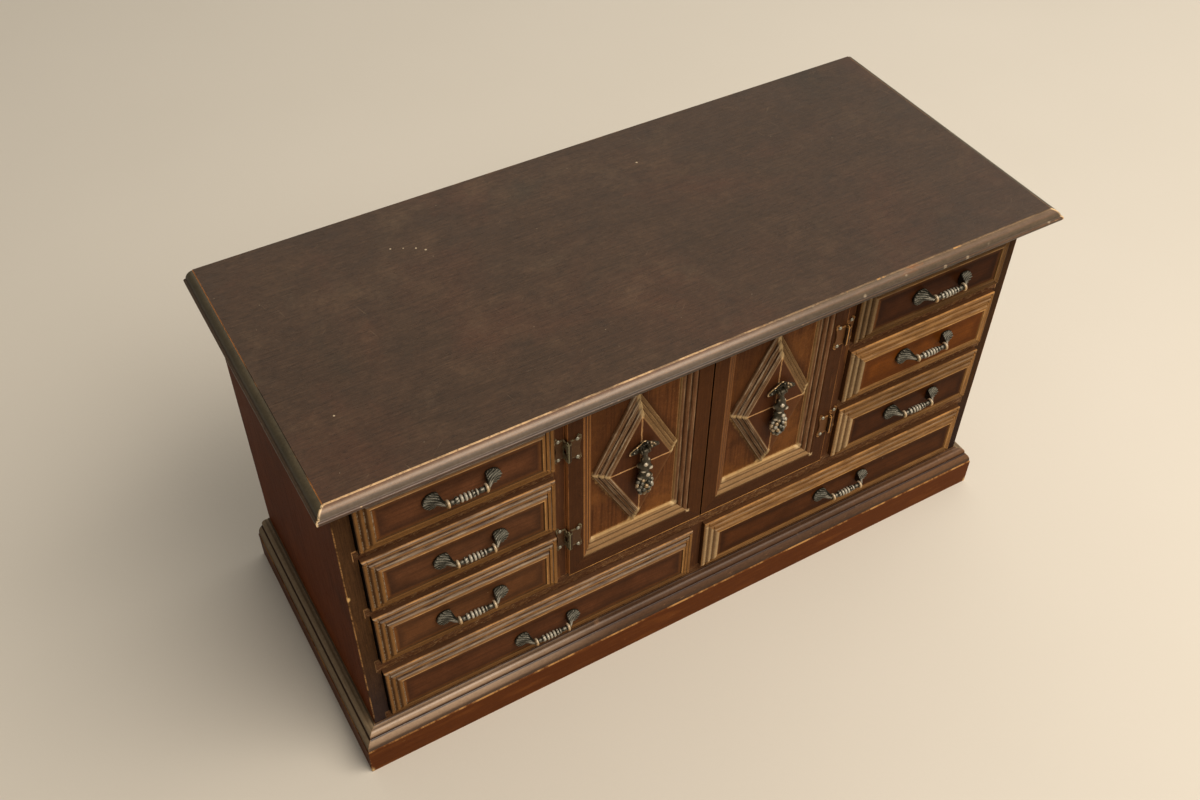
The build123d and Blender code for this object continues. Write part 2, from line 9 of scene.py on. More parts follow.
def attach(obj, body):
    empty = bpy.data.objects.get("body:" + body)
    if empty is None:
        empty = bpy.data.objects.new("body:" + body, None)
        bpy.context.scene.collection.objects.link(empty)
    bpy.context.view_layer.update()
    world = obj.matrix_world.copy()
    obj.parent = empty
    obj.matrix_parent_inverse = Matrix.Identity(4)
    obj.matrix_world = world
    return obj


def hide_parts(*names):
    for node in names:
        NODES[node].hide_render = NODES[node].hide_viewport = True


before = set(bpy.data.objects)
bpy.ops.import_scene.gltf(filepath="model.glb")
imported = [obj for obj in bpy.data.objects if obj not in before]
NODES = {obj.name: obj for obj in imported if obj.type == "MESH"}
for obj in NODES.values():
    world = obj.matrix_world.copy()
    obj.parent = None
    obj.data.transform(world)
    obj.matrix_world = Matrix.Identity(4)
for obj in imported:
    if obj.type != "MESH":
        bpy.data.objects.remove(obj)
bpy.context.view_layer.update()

# --------------------------------------------------------------------------
# sizes in mm, the same as the frame's
TOP_W, TOP_D, TOP_H, TOP_T = 400.0, 170.8, 213.3, 6.6
YB = TOP_D / 2
ZU = TOP_H - TOP_T
SIDE_X, SIDE_IN = 191.1, 182.7
FACE_Y = -68.7
PANEL_Y = -74.1
FRONT_BACK = -64.0
PLINTH_D = 8.5
LOZ_Y, REC_Y = -71.9, -66.0
LOZ_A, LOZ_B = 24.05, 47.2
PULL_Z, PIN_Y = 155.2, -75.6
DOOR_Y, DOOR_BACK = -71.0, -63.0
DOOR_Z0, DOOR_Z1 = 78.0, 206.2
DOOR_IN, DOOR_OUT = 0.45, 79.1
STILE_W, RAIL_W, MOULD_W = 8.05, 9.4, 7.1
MM = 0.001
# heights here are over a datum line; the floor is this much under it
LIFT = 2.2


def C(r, g, b):
    """An sRGB colour, 0 to 255, as Blender's linear one."""
    def f(v):
        v /= 255.0
        return v / 12.92 if v <= 0.04045 else ((v + 0.055) / 1.055) ** 2.4
    return (f(r), f(g), f(b), 1.0)


# --------------------------------------------------------------------------
# camera, lights, floor
cam_data = bpy.data.cameras.new("camera")
cam = bpy.data.objects.new("camera", cam_data)
bpy.context.scene.collection.objects.link(cam)
right = Vector((0.86483213, -0.5019873, 0.00860982))
down = Vector((-0.3543388, -0.62243035, -0.69787139))
ahead = Vector((0.35568159, 0.60049081, -0.71617135))
cam.matrix_world = Matrix((
    (right.x, -down.x, -ahead.x, -0.26514728),
    (right.y, -down.y, -ahead.y, -0.41329874),
    (right.z, -down.z, -ahead.z, 0.60768076),
    (0, 0, 0, 1)))
cam_data.sensor_width = 36.0
cam_data.lens = 38.4159
cam_data.clip_start = 0.01
cam_data.clip_end = 50
bpy.context.scene.camera = cam


def lamp(name, at, to, size, power, colour):
    data = bpy.data.lights.new(name, "AREA")
    data.shape = "RECTANGLE"
    data.size, data.size_y = size
    data.energy = power
    data.color = colour
    o = bpy.data.objects.new(name, data)
    bpy.context.scene.collection.objects.link(o)
    o.location = at
    o.rotation_mode = "QUATERNION"
    o.rotation_quaternion = (Vector(to) - Vector(at)).to_track_quat("-Z", "Y")
    return o


lamp("key", (0.36, -0.70, 1.24), (0.02, -0.02, 0.12), (1.2, 0.85), 22.0, (1.0, 0.90, 0.77))
lamp("side_fill", (1.35, 0.15, 0.75), (0.05, 0.0, 0.1), (0.9, 0.7), 3.5, (1.0, 0.92, 0.82))
lamp("wall", (0.60, 1.30, 1.15), (0.0, 0.0, 0.15), (2.6, 1.2), 9.0, (1.0, 0.93, 0.80))

world = bpy.data.worlds.new("studio")
bpy.context.scene.world = world
world.use_nodes = True
wn = world.node_tree.nodes["Background"]
wn.inputs[0].default_value = (0.95, 0.89, 0.80, 1.0)
wn.inputs[1].default_value = 0.25
bpy.context.scene.view_settings.view_transform = "Standard"


# --------------------------------------------------------------------------
# a small language for materials
class V:
    """A number or colour somewhere in a material's graph."""

    def __init__(self, g, k):
        self.g, self.k = g, k

    def __add__(self, o):
        return self.g.m("ADD", self, o)

    __radd__ = __add__

    def __sub__(self, o):
        return self.g.m("SUBTRACT", self, o)

    def __rsub__(self, o):
        return self.g.m("SUBTRACT", o, self)

    def __mul__(self, o):
        return self.g.m("MULTIPLY", self, o)

    __rmul__ = __mul__

    def __truediv__(self, o):
        return self.g.m("DIVIDE", self, o)

    def __neg__(self):
        return self.g.m("MULTIPLY", self, -1.0)

    def __abs__(self):
        return self.g.m("ABSOLUTE", self)


class G:
    """One material."""

    def __init__(self, name):
        self.mat = bpy.data.materials.new(name)
        self.mat.use_nodes = True
        self.t = self.mat.node_tree
        self.t.nodes.clear()
        self.out = self.t.nodes.new("ShaderNodeOutputMaterial")
        self.b = self.t.nodes.new("ShaderNodeBsdfPrincipled")
        self.t.links.new(self.b.outputs[0], self.out.inputs[0])
        tc = self.t.nodes.new("ShaderNodeTexCoord")
        sc = self.t.nodes.new("ShaderNodeVectorMath")
        sc.operation = "SCALE"
        sc.inputs["Scale"].default_value = 1000.0
        self.t.links.new(tc.outputs["Object"], sc.inputs[0])
        sp = self.t.nodes.new("ShaderNodeSeparateXYZ")
        self.t.links.new(sc.outputs[0], sp.inputs[0])
        self.x, self.y = V(self, sp.outputs[0]), V(self, sp.outputs[1])
        self.z = V(self, sp.outputs[2]) - LIFT
        self.p = self.vec(self.x, self.y, self.z)
        sn = self.t.nodes.new("ShaderNodeSeparateXYZ")
        self.t.links.new(tc.outputs["Normal"], sn.inputs[0])
        self.nx, self.ny, self.nz = (V(self, k) for k in sn.outputs)

    def put(self, a, sock):
        if isinstance(a, V):
            self.t.links.new(a.k, sock)
        else:
            sock.default_value = a

    def m(self, op, a, b=None, c=None, clamp=False):
        n = self.t.nodes.new("ShaderNodeMath")
        n.operation = op
        n.use_clamp = clamp
        self.put(a, n.inputs[0])
        if b is not None:
            self.put(b, n.inputs[1])
        if c is not None:
            self.put(c, n.inputs[2])
        return V(self, n.outputs[0])

    def lo(self, *a):
        r = a[0]
        for o in a[1:]:
            r = self.m("MINIMUM", r, o)
        return r

    def hi(self, *a):
        r = a[0]
        for o in a[1:]:
            r = self.m("MAXIMUM", r, o)
        return r

    def less(self, a, b):
        return self.m("LESS_THAN", a, b)

    def more(self, a, b):
        return self.m("GREATER_THAN", a, b)

    def ease(self, v, a, b, lo=0.0, hi=1.0):
        """lo up to a, hi from b on, smooth between; a may be over b."""
        if a > b:
            a, b, lo, hi = b, a, hi, lo
        n = self.t.nodes.new("ShaderNodeMapRange")
        n.interpolation_type = "SMOOTHSTEP"
        n.clamp = True
        self.put(v, n.inputs[0])
        for i, q in zip((1, 2, 3, 4), (a, b, lo, hi)):
            n.inputs[i].default_value = q
        return V(self, n.outputs[0])

    def near(self, v, at, width, soft):
        """1 within width of the value at, fading over soft."""
        return self.ease(abs(v - at), width + soft, width)

    def vec(self, x, y, z):
        n = self.t.nodes.new("ShaderNodeCombineXYZ")
        for a, s in zip((x, y, z), n.inputs):
            self.put(a, s)
        return V(self, n.outputs[0])

    def noise(self, vec, scale=1.0, detail=2.0, rough=0.5, dist=0.0):
        n = self.t.nodes.new("ShaderNodeTexNoise")
        self.put(vec, n.inputs["Vector"])
        n.inputs["Scale"].default_value = scale
        n.inputs["Detail"].default_value = detail
        n.inputs["Roughness"].default_value = rough
        n.inputs["Distortion"].default_value = dist
        return V(self, n.outputs["Fac"])

    def cells(self, vec, scale=1.0, feature="F1"):
        """Distance to the nearest point, and that point's own random number."""
        n = self.t.nodes.new("ShaderNodeTexVoronoi")
        n.feature = feature
        self.put(vec, n.inputs["Vector"])
        n.inputs["Scale"].default_value = scale
        s = self.t.nodes.new("ShaderNodeSeparateColor")
        self.t.links.new(n.outputs["Color"], s.inputs[0])
        return V(self, n.outputs["Distance"]), V(self, s.outputs[0])

    def mix(self, f, a, b):
        n = self.t.nodes.new("ShaderNodeMix")
        n.data_type = "RGBA"
        n.clamp_factor = True
        self.put(f, n.inputs[0])
        self.put(a, n.inputs[6])
        self.put(b, n.inputs[7])
        return V(self, n.outputs[2])

    def blend(self, f, a, b):
        """A number between a and b."""
        return a + f * (b - a)

    def tint(self, colour, by):
        """colour times a number."""
        n = self.t.nodes.new("ShaderNodeVectorMath")
        n.operation = "SCALE"
        self.put(colour if isinstance(colour, V) else colour[:3], n.inputs[0])
        self.put(by, n.inputs["Scale"])
        return V(self, n.outputs[0])

    def attr(self, name):
        n = self.t.nodes.new("ShaderNodeAttribute")
        n.attribute_name = name
        return V(self, n.outputs["Fac"])

    def finish(self, colour, rough, height=None, lift=0.1, metal=0.0, bevel=0.0, coat=0.0, coat_rough=0.2,
               sheen=0.0, specular=0.5):
        """height is in mm times lift."""
        b = self.b
        self.put(colour, b.inputs["Base Color"])
        self.put(rough, b.inputs["Roughness"])
        self.put(metal, b.inputs["Metallic"])
        self.put(specular, b.inputs["Specular IOR Level"])
        b.inputs["Coat Weight"].default_value = coat
        b.inputs["Coat Roughness"].default_value = coat_rough
        b.inputs["Sheen Weight"].default_value = sheen
        normal = None
        if bevel:
            n = self.t.nodes.new("ShaderNodeBevel")
            n.samples = 4
            n.inputs["Radius"].default_value = bevel * MM
            normal = n.outputs[0]
        if height is not None:
            n = self.t.nodes.new("ShaderNodeBump")
            n.inputs["Strength"].default_value = 1.0
            n.inputs["Distance"].default_value = lift * MM
            self.put(height, n.inputs["Height"])
            if normal is not None:
                self.t.links.new(normal, n.inputs["Normal"])
            normal = n.outputs[0]
        if normal is not None:
            self.t.links.new(normal, b.inputs["Normal"])
        return self.mat


def grain(g, axis, seed=0.0, bend=12.0, x=None, y=None, z=None):
    """Wood figure along an axis: broad tone, streaks, pores, each 0 to 1, and the bent coordinates."""
    x, y, z = x or g.x, y or g.y, z or g.z
    a, b, c = {"x": (x, y, z), "y": (y, x, z), "z": (z, x, y)}[axis]
    a = a + seed * 37.7
    w = g.noise(g.vec(a * 0.0065, b * 0.018 + seed, c * 0.018), 1.0, 2.0, 0.5)
    bb = b + (w - 0.5) * bend
    cc = c + (w - 0.5) * bend * 0.6 + seed * 11.3
    broad = g.noise(g.vec(a * 0.009, bb * 0.045, cc * 0.045), 1.0, 3.0, 0.55)
    streak = g.noise(g.vec(a * 0.016, bb * 0.75, cc * 0.75), 1.0, 4.0, 0.62)
    pores = g.noise(g.vec(a * 0.22, bb * 4.2, cc * 4.2), 1.0, 2.0, 0.6)
    return broad, streak, pores, (a, bb, cc)


def pore_mask(g, pores, a=0.60, b=0.70):
    return g.ease(pores, a, b)


# --------------------------------------------------------------------------
# top board
def speckle(g, c, amount=0.16, scale=1.7):
    """Fine uneven film: a colour varied a little at a millimetre's scale."""
    n = g.noise(g.p, scale * 0.62, 4.0, 0.75)
    b = g.noise(g.p, scale * 0.10, 3.0, 0.6)
    by = g.m("MULTIPLY_ADD", n, 3.0 * amount, 1.0 - 1.5 * amount) * g.m("MULTIPLY_ADD", b, 1.7 * amount, 1.0 - 0.85 * amount)
    return g.tint(c, by)


def top_material():
    g = G("top_board_wood")
    broad, streak, pores, (a, bb, cc) = grain(g, "x", 1.0, 8.0)
    inf = g.y + YB
    inl = g.x + TOP_W / 2
    inr = TOP_W / 2 - g.x
    ends = g.lo(inl, inr)
    inset = g.lo(inf, ends)
    is_front = g.less(inf, ends)
    up = g.more(g.nz, 0.9)
    # field: dark grey brown with faint red clouds and fine close lines
    clouds = g.noise(g.p, 0.010, 4.0, 0.6, 0.8)
    mott = g.noise(g.p, 0.05, 4.0, 0.62, 0.3)
    c = g.mix(broad, C(56, 41, 29), C(70, 51, 37))
    c = g.mix(g.ease(clouds, 0.48, 0.70, 0.0, 0.6), c, C(78, 49, 34))
    c = g.mix(g.ease(clouds, 0.44, 0.27, 0.0, 0.6), c, C(45, 40, 31))
    c = g.mix(g.ease(mott, 0.50, 0.72, 0.0, 0.55), c, C(80, 60, 44))
    c = g.mix(g.ease(mott, 0.46, 0.28, 0.0, 0.4), c, C(48, 36, 27))
    close = g.noise(g.vec(a * 0.035, bb * 1.25, 4.0), 1.0, 3.0, 0.6)
    c = g.mix(g.ease(close, 0.42, 0.70, 0.0, 0.42), c, C(38, 28, 20))
    c = g.mix(g.ease(streak, 0.45, 0.75, 0.0, 0.2), c, C(84, 62, 45))
    strokes = g.noise(g.vec(a * 0.11, bb * 1.5, 9.0), 1.0, 3.0, 0.65)
    c = g.mix(g.ease(strokes, 0.52, 0.72, 0.0, 0.28), c, C(96, 74, 56))
    c = g.mix(g.ease(strokes, 0.46, 0.30, 0.0, 0.28), c, C(40, 29, 21))
    c = g.mix(pore_mask(g, pores) * 0.5, c, C(30, 23, 17))
    haze = g.ease(g.noise(g.p, 0.022, 5.0, 0.72, 0.4), 0.52, 0.76, 0.0, 0.30)
    c = g.mix(haze, c, C(100, 82, 64))
    c = g.tint(c, g.ease(g.x, -60.0, 150.0, 1.0, 0.87))
    # hair scratches
    for k, (ca, cb) in enumerate(((0.05, 0.9), (0.65, 0.18), (-0.45, 0.5))):
        sc = g.noise(g.vec(g.x * ca + g.y * cb, (g.y * ca - g.x * cb) * 0.06, 3.0 + k * 5), 1.0, 2.0, 0.7)
        gate = g.ease(g.noise(g.p, 0.018, 2.0, 0.5, 0.0) + k * 0.03, 0.5, 0.62)
        c = g.mix(g.ease(sc, 0.69, 0.76, 0.0, 0.30) * gate, c, C(122, 102, 80))
    # specks of old paint
    d1, r1 = g.cells(g.p, 0.030)
    speck = g.ease(d1, 0.022, 0.010) * g.more(r1, 0.55)
    d2, r2 = g.cells(g.p, 0.11)
    speck2 = g.ease(d2, 0.040, 0.018) * g.more(r2, 0.66)
    spots = g.hi(speck, speck2 * 0.40) * up
    for sx, sy, sr in ((-107.2, 53.5, 0.62), (-101.6, 50.9, 0.50), (-96.2, 48.0, 0.62), (-92.6, 44.6, 0.75),
                       (-172.5, -37.0, 0.6)):
        dx, dy = g.x - sx, g.y - sy
        spots = g.hi(spots, g.ease(g.m("SQRT", dx * dx + dy * dy), sr, sr * 0.5) * up)
    c = g.mix(spots * 0.75, c, C(190, 172, 144))
    # moulded edge: warmer colours over the thumbnail. The left half is painted lighter and pinker, a painted highlight;
    # the right half is painted greyer, a painted sheen
    edge = g.ease(inset, 5.5, 5.1)
    alongf = g.m("MULTIPLY_ADD", is_front, g.x, (1.0 - is_front) * (g.y + 900.0))
    wn1 = g.noise(g.vec(alongf * 0.045, inset * 0.12, 2.0), 1.0, 4.0, 0.65)
    wn2 = g.noise(g.vec(alongf * 0.6, inset * 1.3, 5.0), 1.0, 3.0, 0.62)
    half = g.ease(g.x, -30.0, 70.0)
    ec = g.mix(wn1, C(86, 58, 39), C(112, 81, 57))
    ec = g.mix(half, ec, g.mix(wn1, C(79, 65, 51), C(112, 93, 72)))
    ec = g.mix(g.ease(wn2, 0.45, 0.8, 0.0, 0.5), ec, g.mix(half, C(146, 110, 78), C(108, 82, 58)))
    ec = g.mix(g.ease(wn1, 0.56, 0.68, 0.0, 0.75) * half, ec, C(132, 84, 44))
    lines = g.noise(g.vec(alongf * 0.02, inset * 2.4, 7.0), 1.0, 2.0, 0.5)
    ec = g.mix(g.ease(lines, 0.46, 0.70, 0.0, 0.3), ec, C(64, 41, 28))
    # painted shade: the lower part of the curve, turning down, is darker
    ec = g.mix(g.ease(inset, 3.4, 1.6, 0.0, 0.5), ec, C(66, 42, 29))
    ec = g.mix(g.ease(g.x, 98.0, 132.0, 0.0, 0.7), ec, g.mix(wn1, C(84, 66, 50), C(116, 93, 70)))
    ec = g.mix(1.0 - is_front, ec, g.mix(wn1, C(56, 49, 35), C(80, 71, 53)))
    # painted shade: darker again next to the lip
    ec = g.mix(g.ease(inset, 1.9, 1.0) * 0.6, ec, C(58, 38, 26))
    # along the front: a painted grey sheen on the turn of the curve, above it a warmer band painted lighter on the left
    # as a painted highlight, and painted shade, dark, below
    painted_sheen = g.mix(half, g.mix(wn1, C(84, 72, 60), C(108, 96, 83)), g.mix(wn1, C(72, 62, 50), C(97, 85, 71)))
    ec = g.mix(g.near(inset, 1.5, 0.45, 0.5) * is_front * 0.78, ec, painted_sheen)
    warm = g.mix(half, g.mix(wn1, C(102, 74, 43), C(132, 97, 58)), g.mix(wn1, C(77, 53, 29), C(103, 72, 42)))
    warm = g.mix(g.ease(g.x, 98.0, 132.0), warm, g.mix(wn1, C(80, 61, 46), C(108, 83, 63)))
    ec = g.mix(g.near(inset, 2.9, 0.5, 0.5) * is_front * 0.72, ec, warm)
    lowd = g.ease(inset, 1.15, 0.75) * g.ease(g.x, -150.0, -70.0) * g.ease(g.x, 160.0, 130.0) * is_front
    ec = g.mix(lowd * 0.82, ec, C(50, 37, 25))
    c = g.mix(edge, c, ec)
    # worn arrises: the step at the top and the lip at the foot of the curve
    top_arris = g.ease(g.nz, -0.2, 0.1)
    worn = g.ease(wn1, 0.36, 0.52) * g.ease(wn2, 0.28, 0.46)
    step_f = g.near(inset, 5.2, 0.20, 0.26) * top_arris * is_front * g.hi(worn, 0.30) * g.ease(g.x, 60.0, -40.0, 0.25, 1.0)
    c = g.mix(step_f, c, g.mix(wn2, C(168, 124, 78), C(226, 198, 156)))
    # short golden bits of it and small pale nicks on the right half
    bits = g.ease(g.noise(g.vec(alongf * 0.085, 3.0, 12.0), 1.0, 5.0, 0.75), 0.56, 0.61) * half
    c = g.mix(g.near(inset, 5.05, 0.20, 0.25) * top_arris * is_front * bits * 0.85, c, C(206, 158, 100))
    nk, nr = g.cells(g.vec(alongf * 0.13, inset * 0.26, 3.2), 1.0)
    c = g.mix(g.ease(nk, 0.17, 0.08) * g.more(nr, 0.3) * edge * is_front * half * 0.5, c, C(186, 168, 142))
    # on the ends the arris is orange and thin, and only here and there
    ws = g.hi(g.ease(g.y, 6.0, 16.0) * g.ease(wn1, 0.30, 0.42), g.ease(g.y, -60.0, -70.0), g.ease(wn1, 0.56, 0.66) * 0.5)
    step_s = g.near(inset, 5.25, 0.10, 0.16) * (1.0 - is_front) * ws * top_arris
    c = g.mix(step_s, c, C(184, 120, 64))
    lipw = g.ease(g.noise(g.vec(alongf * 0.07, 1.0, 9.0), 1.0, 5.0, 0.72), 0.55, 0.68)
    lip = g.near(g.z, ZU + 2.35, 0.14, 0.18) * g.less(inset, 1.3)
    c = g.mix(lip * g.hi(lipw, 0.18) * g.m("MULTIPLY_ADD", is_front, 0.55, 0.35), c, g.mix(lipw, C(136, 92, 54), C(210, 172, 122)))
    # worn mitres at the two front corners
    mitre = g.ease(abs(inf - ends), 1.1, 0.3) * g.ease(inset, 5.4, 5.0)
    mw = g.ease(g.noise(g.p, 0.9, 3.0, 0.6), 0.33, 0.52)
    c = g.mix(mitre * mw, c, C(216, 184, 140))
    # back edge, square, and underside
    under = g.less(g.nz, -0.5)
    c = g.mix(under, c, g.mix(streak, C(44, 28, 20), C(62, 42, 29)))
    back = g.near(g.y, YB, 0.30, 0.3) * up * g.ease(wn1, 0.5, 0.62)
    c = g.mix(back * 0.5, c, C(128, 96, 66))
    grit = g.noise(g.vec(g.x * 0.30, g.y * 0.55, g.z), 1.0, 4.0, 0.75)
    c = g.tint(c, g.m("MULTIPLY_ADD", grit, 0.8, 0.60))
    c = speckle(g, c, 0.24, 1.2)
    rough = g.m("MULTIPLY_ADD", mott, 0.14, 0.40) + haze * 0.2
    rough = g.blend(edge, rough, 0.42)
    h = streak * 0.25 + close * 0.3 - pore_mask(g, pores) * 0.4 + g.noise(g.p, 0.12, 3.0, 0.55) * 0.8 + spots * 0.6
    h = h * g.m("MULTIPLY_ADD", edge, -0.8, 1.0)
    sheen = g.m("MULTIPLY_ADD", lowd, -0.35, 1.0) * g.m("MULTIPLY_ADD", half, -0.40, 0.54) * g.ease(g.x, 132.0, 92.0, 0.05, 1.0) * g.ease(g.nz, 0.0, 0.5, 0.25, 1.0)
    spec = g.m("MULTIPLY_ADD", edge * is_front, sheen, 0.25)
    return g.finish(c, rough, h, 0.10, bevel=0.22, specular=spec)


# --------------------------------------------------------------------------
# boards of the case
def side_material(name, s):
    """A side board; s is -1 on the left. Its front edge is the outer stile."""
    g = G(name)
    broad, streak, pores, _ = grain(g, "z", 2.0 + s, 14.0)
    out = g.m("MULTIPLY_ADD", g.x, float(s), 0.0)
    c = g.mix(broad, C(82, 38, 16), C(103, 51, 21))
    c = g.mix(g.ease(streak, 0.35, 0.75, 0.0, 0.6), c, C(54, 24, 12))
    red = g.noise(g.p, 0.014, 4.0, 0.6, 0.5)
    c = g.mix(g.ease(red, 0.48, 0.7, 0.0, 0.6), c, C(104, 52, 24))
    c = g.mix(g.ease(red, 0.45, 0.28, 0.0, 0.5), c, C(56, 31, 17))
    c = g.mix(pore_mask(g, pores) * 0.5, c, C(34, 18, 12))
    # stile: olive brown, rubbed to gold in patches
    stile = g.less(g.ny, -0.35)
    patch = g.noise(g.vec(g.x * 0.25, 1.0, g.z * 0.030), 1.0, 5.0, 0.66)
    vert = g.noise(g.vec(g.x * 1.3, 2.0, g.z * 0.05), 1.0, 4.0, 0.66)
    sc = g.mix(patch, C(62, 42, 27), C(89, 61, 37))
    sc = g.mix(g.ease(patch, 0.56, 0.72, 0.0, 0.7), sc, C(104, 70, 36))
    sc = g.mix(g.ease(vert, 0.42, 0.66, 0.0, 0.6), sc, C(40, 27, 19))
    sc = g.mix(g.ease(vert, 0.57, 0.70, 0.0, 0.75), sc, C(112, 76, 40))
    sc = g.mix(g.ease(g.z, 95.0, 28.0, 0.0, 0.8), sc, C(51, 42, 42))
    if s > 0:
        sc = g.mix(0.45, sc, C(36, 22, 15))
    c = g.mix(stile, c, sc)
    # inner face
    inner = g.less(out, SIDE_IN + 0.05)
    c = g.mix(inner * 0.7, c, C(86, 60, 40))
    # outer front arris
    da = g.hi(abs(SIDE_X - 0.1 - out), abs(g.y - FACE_Y - 0.1))
    wz = g.noise(g.vec(1.0, 4.0 + s, g.z * 0.05), 1.0, 5.0, 0.7)
    fine = g.noise(g.p, 1.1, 2.0, 0.6)
    line = g.ease(da, 0.6, 0.2) * g.ease(wz, 0.42, 0.54) * g.ease(fine, 0.35, 0.5, 0.2, 1.0)
    c = g.mix(line * 0.9, c, g.mix(wz, C(150, 98, 52), C(206, 160, 104)))
    if s < 0:
        bare = g.ease(g.m("SQRT", (out - 190.9) * (out - 190.9) + (g.z - 132.0) * (g.z - 132.0) * 0.6), 1.7, 0.6) * g.less(g.y, -67.9)
        c = g.mix(bare * 0.9, c, C(222, 180, 118))
    # rubbed corners where the shelves are let in
    for z0, z1, k in ((156.5, 162.3, 0.9), (113.9, 119.7, 0.55), (68.2, 77.1, 0.35), (25.6, 31.0, 0.2)):
        side = g.near(out, 184.75, 0.15, 0.22) * g.ease(abs(g.z - (z0 + z1) / 2), (z1 - z0) / 2 + 0.5, (z1 - z0) / 2 + 0.1)
        top = g.near(g.z, z1 + 0.35, 0.16, 0.22) * g.ease(abs(out - 183.7), 1.5, 1.0)
        c = g.mix(g.hi(side, top) * stile * k * g.ease(fine, 0.2, 0.5, 0.3, 1.0), c, C(186, 140, 92))
    # inner arris of the stile
    ia = g.near(out, SIDE_IN + 0.15, 0.12, 0.25) * stile * g.ease(wz, 0.5, 0.6)
    c = g.mix(ia * 0.4, c, C(130, 90, 52))
    c = speckle(g, c, 0.24)
    rough = g.m("MULTIPLY_ADD", streak, 0.14, 0.42)
    h = streak * 0.3 - pore_mask(g, pores) * 0.4 + g.noise(g.p, 0.15, 3.0, 0.5) * 0.8
    return g.finish(c, rough, h, 0.09, bevel=0.2, specular=0.01)


def shelf_material(name, zs, seed, arris=1.0, blotch=1.0):
    """Shelves and decks. zs: (bottom, top) of each board."""
    g = G(name)
    broad, streak, pores, _ = grain(g, "x", seed, 6.0)
    front = g.less(g.ny, -0.5)
    c = g.mix(streak, C(74, 48, 30), C(102, 70, 44))
    speck = g.noise(g.vec(g.x * 0.30, g.y * 0.3, g.z * 1.1), 1.0, 5.0, 0.75)
    slant = g.noise(g.vec(g.x * 0.5 - g.z * 0.7, 5.0, g.z * 0.9), 1.0, 4.0, 0.7)
    long = g.noise(g.vec(g.x * 0.018, 3.0, g.z * 0.1), 1.0, 3.0, 0.6)
    fc = g.mix(streak, C(72, 44, 28), C(100, 66, 42))
    fc = g.mix(g.ease(speck, 0.49, 0.60, 0.0, 0.75 * blotch), fc, C(126, 92, 58))
    fc = g.mix(g.ease(slant, 0.55, 0.66, 0.0, 0.8 * blotch), fc, C(156, 128, 94))
    fc = g.mix(g.ease(speck, 0.44, 0.32, 0.0, 0.6), fc, C(46, 28, 20))
    fc = g.mix(g.ease(long, 0.55, 0.35, 0.0, 0.5), fc, C(60, 36, 23))
    c = g.mix(front, c, fc)
    for z0, z1 in zs:
        tl = g.near(g.z, z1 - 0.12, 0.12, 0.2) * front
        w = g.ease(g.noise(g.vec(g.x * 0.04, z1, 2.0), 1.0, 4.0, 0.65), 0.46, 0.60)
        c = g.mix(tl * w * arris * 0.7, c, C(176, 126, 78))
    c = speckle(g, c, 0.15)
    rough = g.m("MULTIPLY_ADD", speck, 0.2, 0.42)
    h = streak * 0.35 - pore_mask(g, pores) * 0.3 + speck * 0.5
    return g.finish(c, rough, h, 0.09, bevel=0.2, specular=0.03)


def upright_material(name, seed):
    """Partitions: the strip beside the doors shows, with the hinges on it."""
    g = G(name)
    broad, streak, pores, _ = grain(g, "z", seed, 5.0)
    front = g.less(g.ny, -0.5)
    c = g.mix(streak, C(78, 52, 33), C(104, 72, 46))
    fc = g.mix(streak, C(62, 38, 24), C(88, 54, 32))
    pt = g.noise(g.vec(g.x * 0.4, 2.0, g.z * 0.035), 1.0, 4.0, 0.65)
    fc = g.mix(g.ease(pt, 0.50, 0.70, 0.0, 0.7), fc, C(112, 72, 38))
    ax = abs(g.x)
    inner = g.near(ax, 79.75, 0.16, 0.2)
    outer = g.near(ax, 85.5, 0.12, 0.2)
    fc = g.mix(inner * g.ease(pt, 0.25, 0.42, 0.2, 0.7), fc, C(140, 88, 48))
    fc = g.mix(outer * g.ease(pt, 0.4, 0.55) * 0.5, fc, C(150, 100, 56))
    c = g.mix(front, c, fc)
    c = speckle(g, c, 0.15)
    rough = g.m("MULTIPLY_ADD", streak, 0.2, 0.4)
    h = streak * 0.35 - pore_mask(g, pores) * 0.3
    return g.finish(c, rough, h, 0.09, bevel=0.2, specular=0.03)


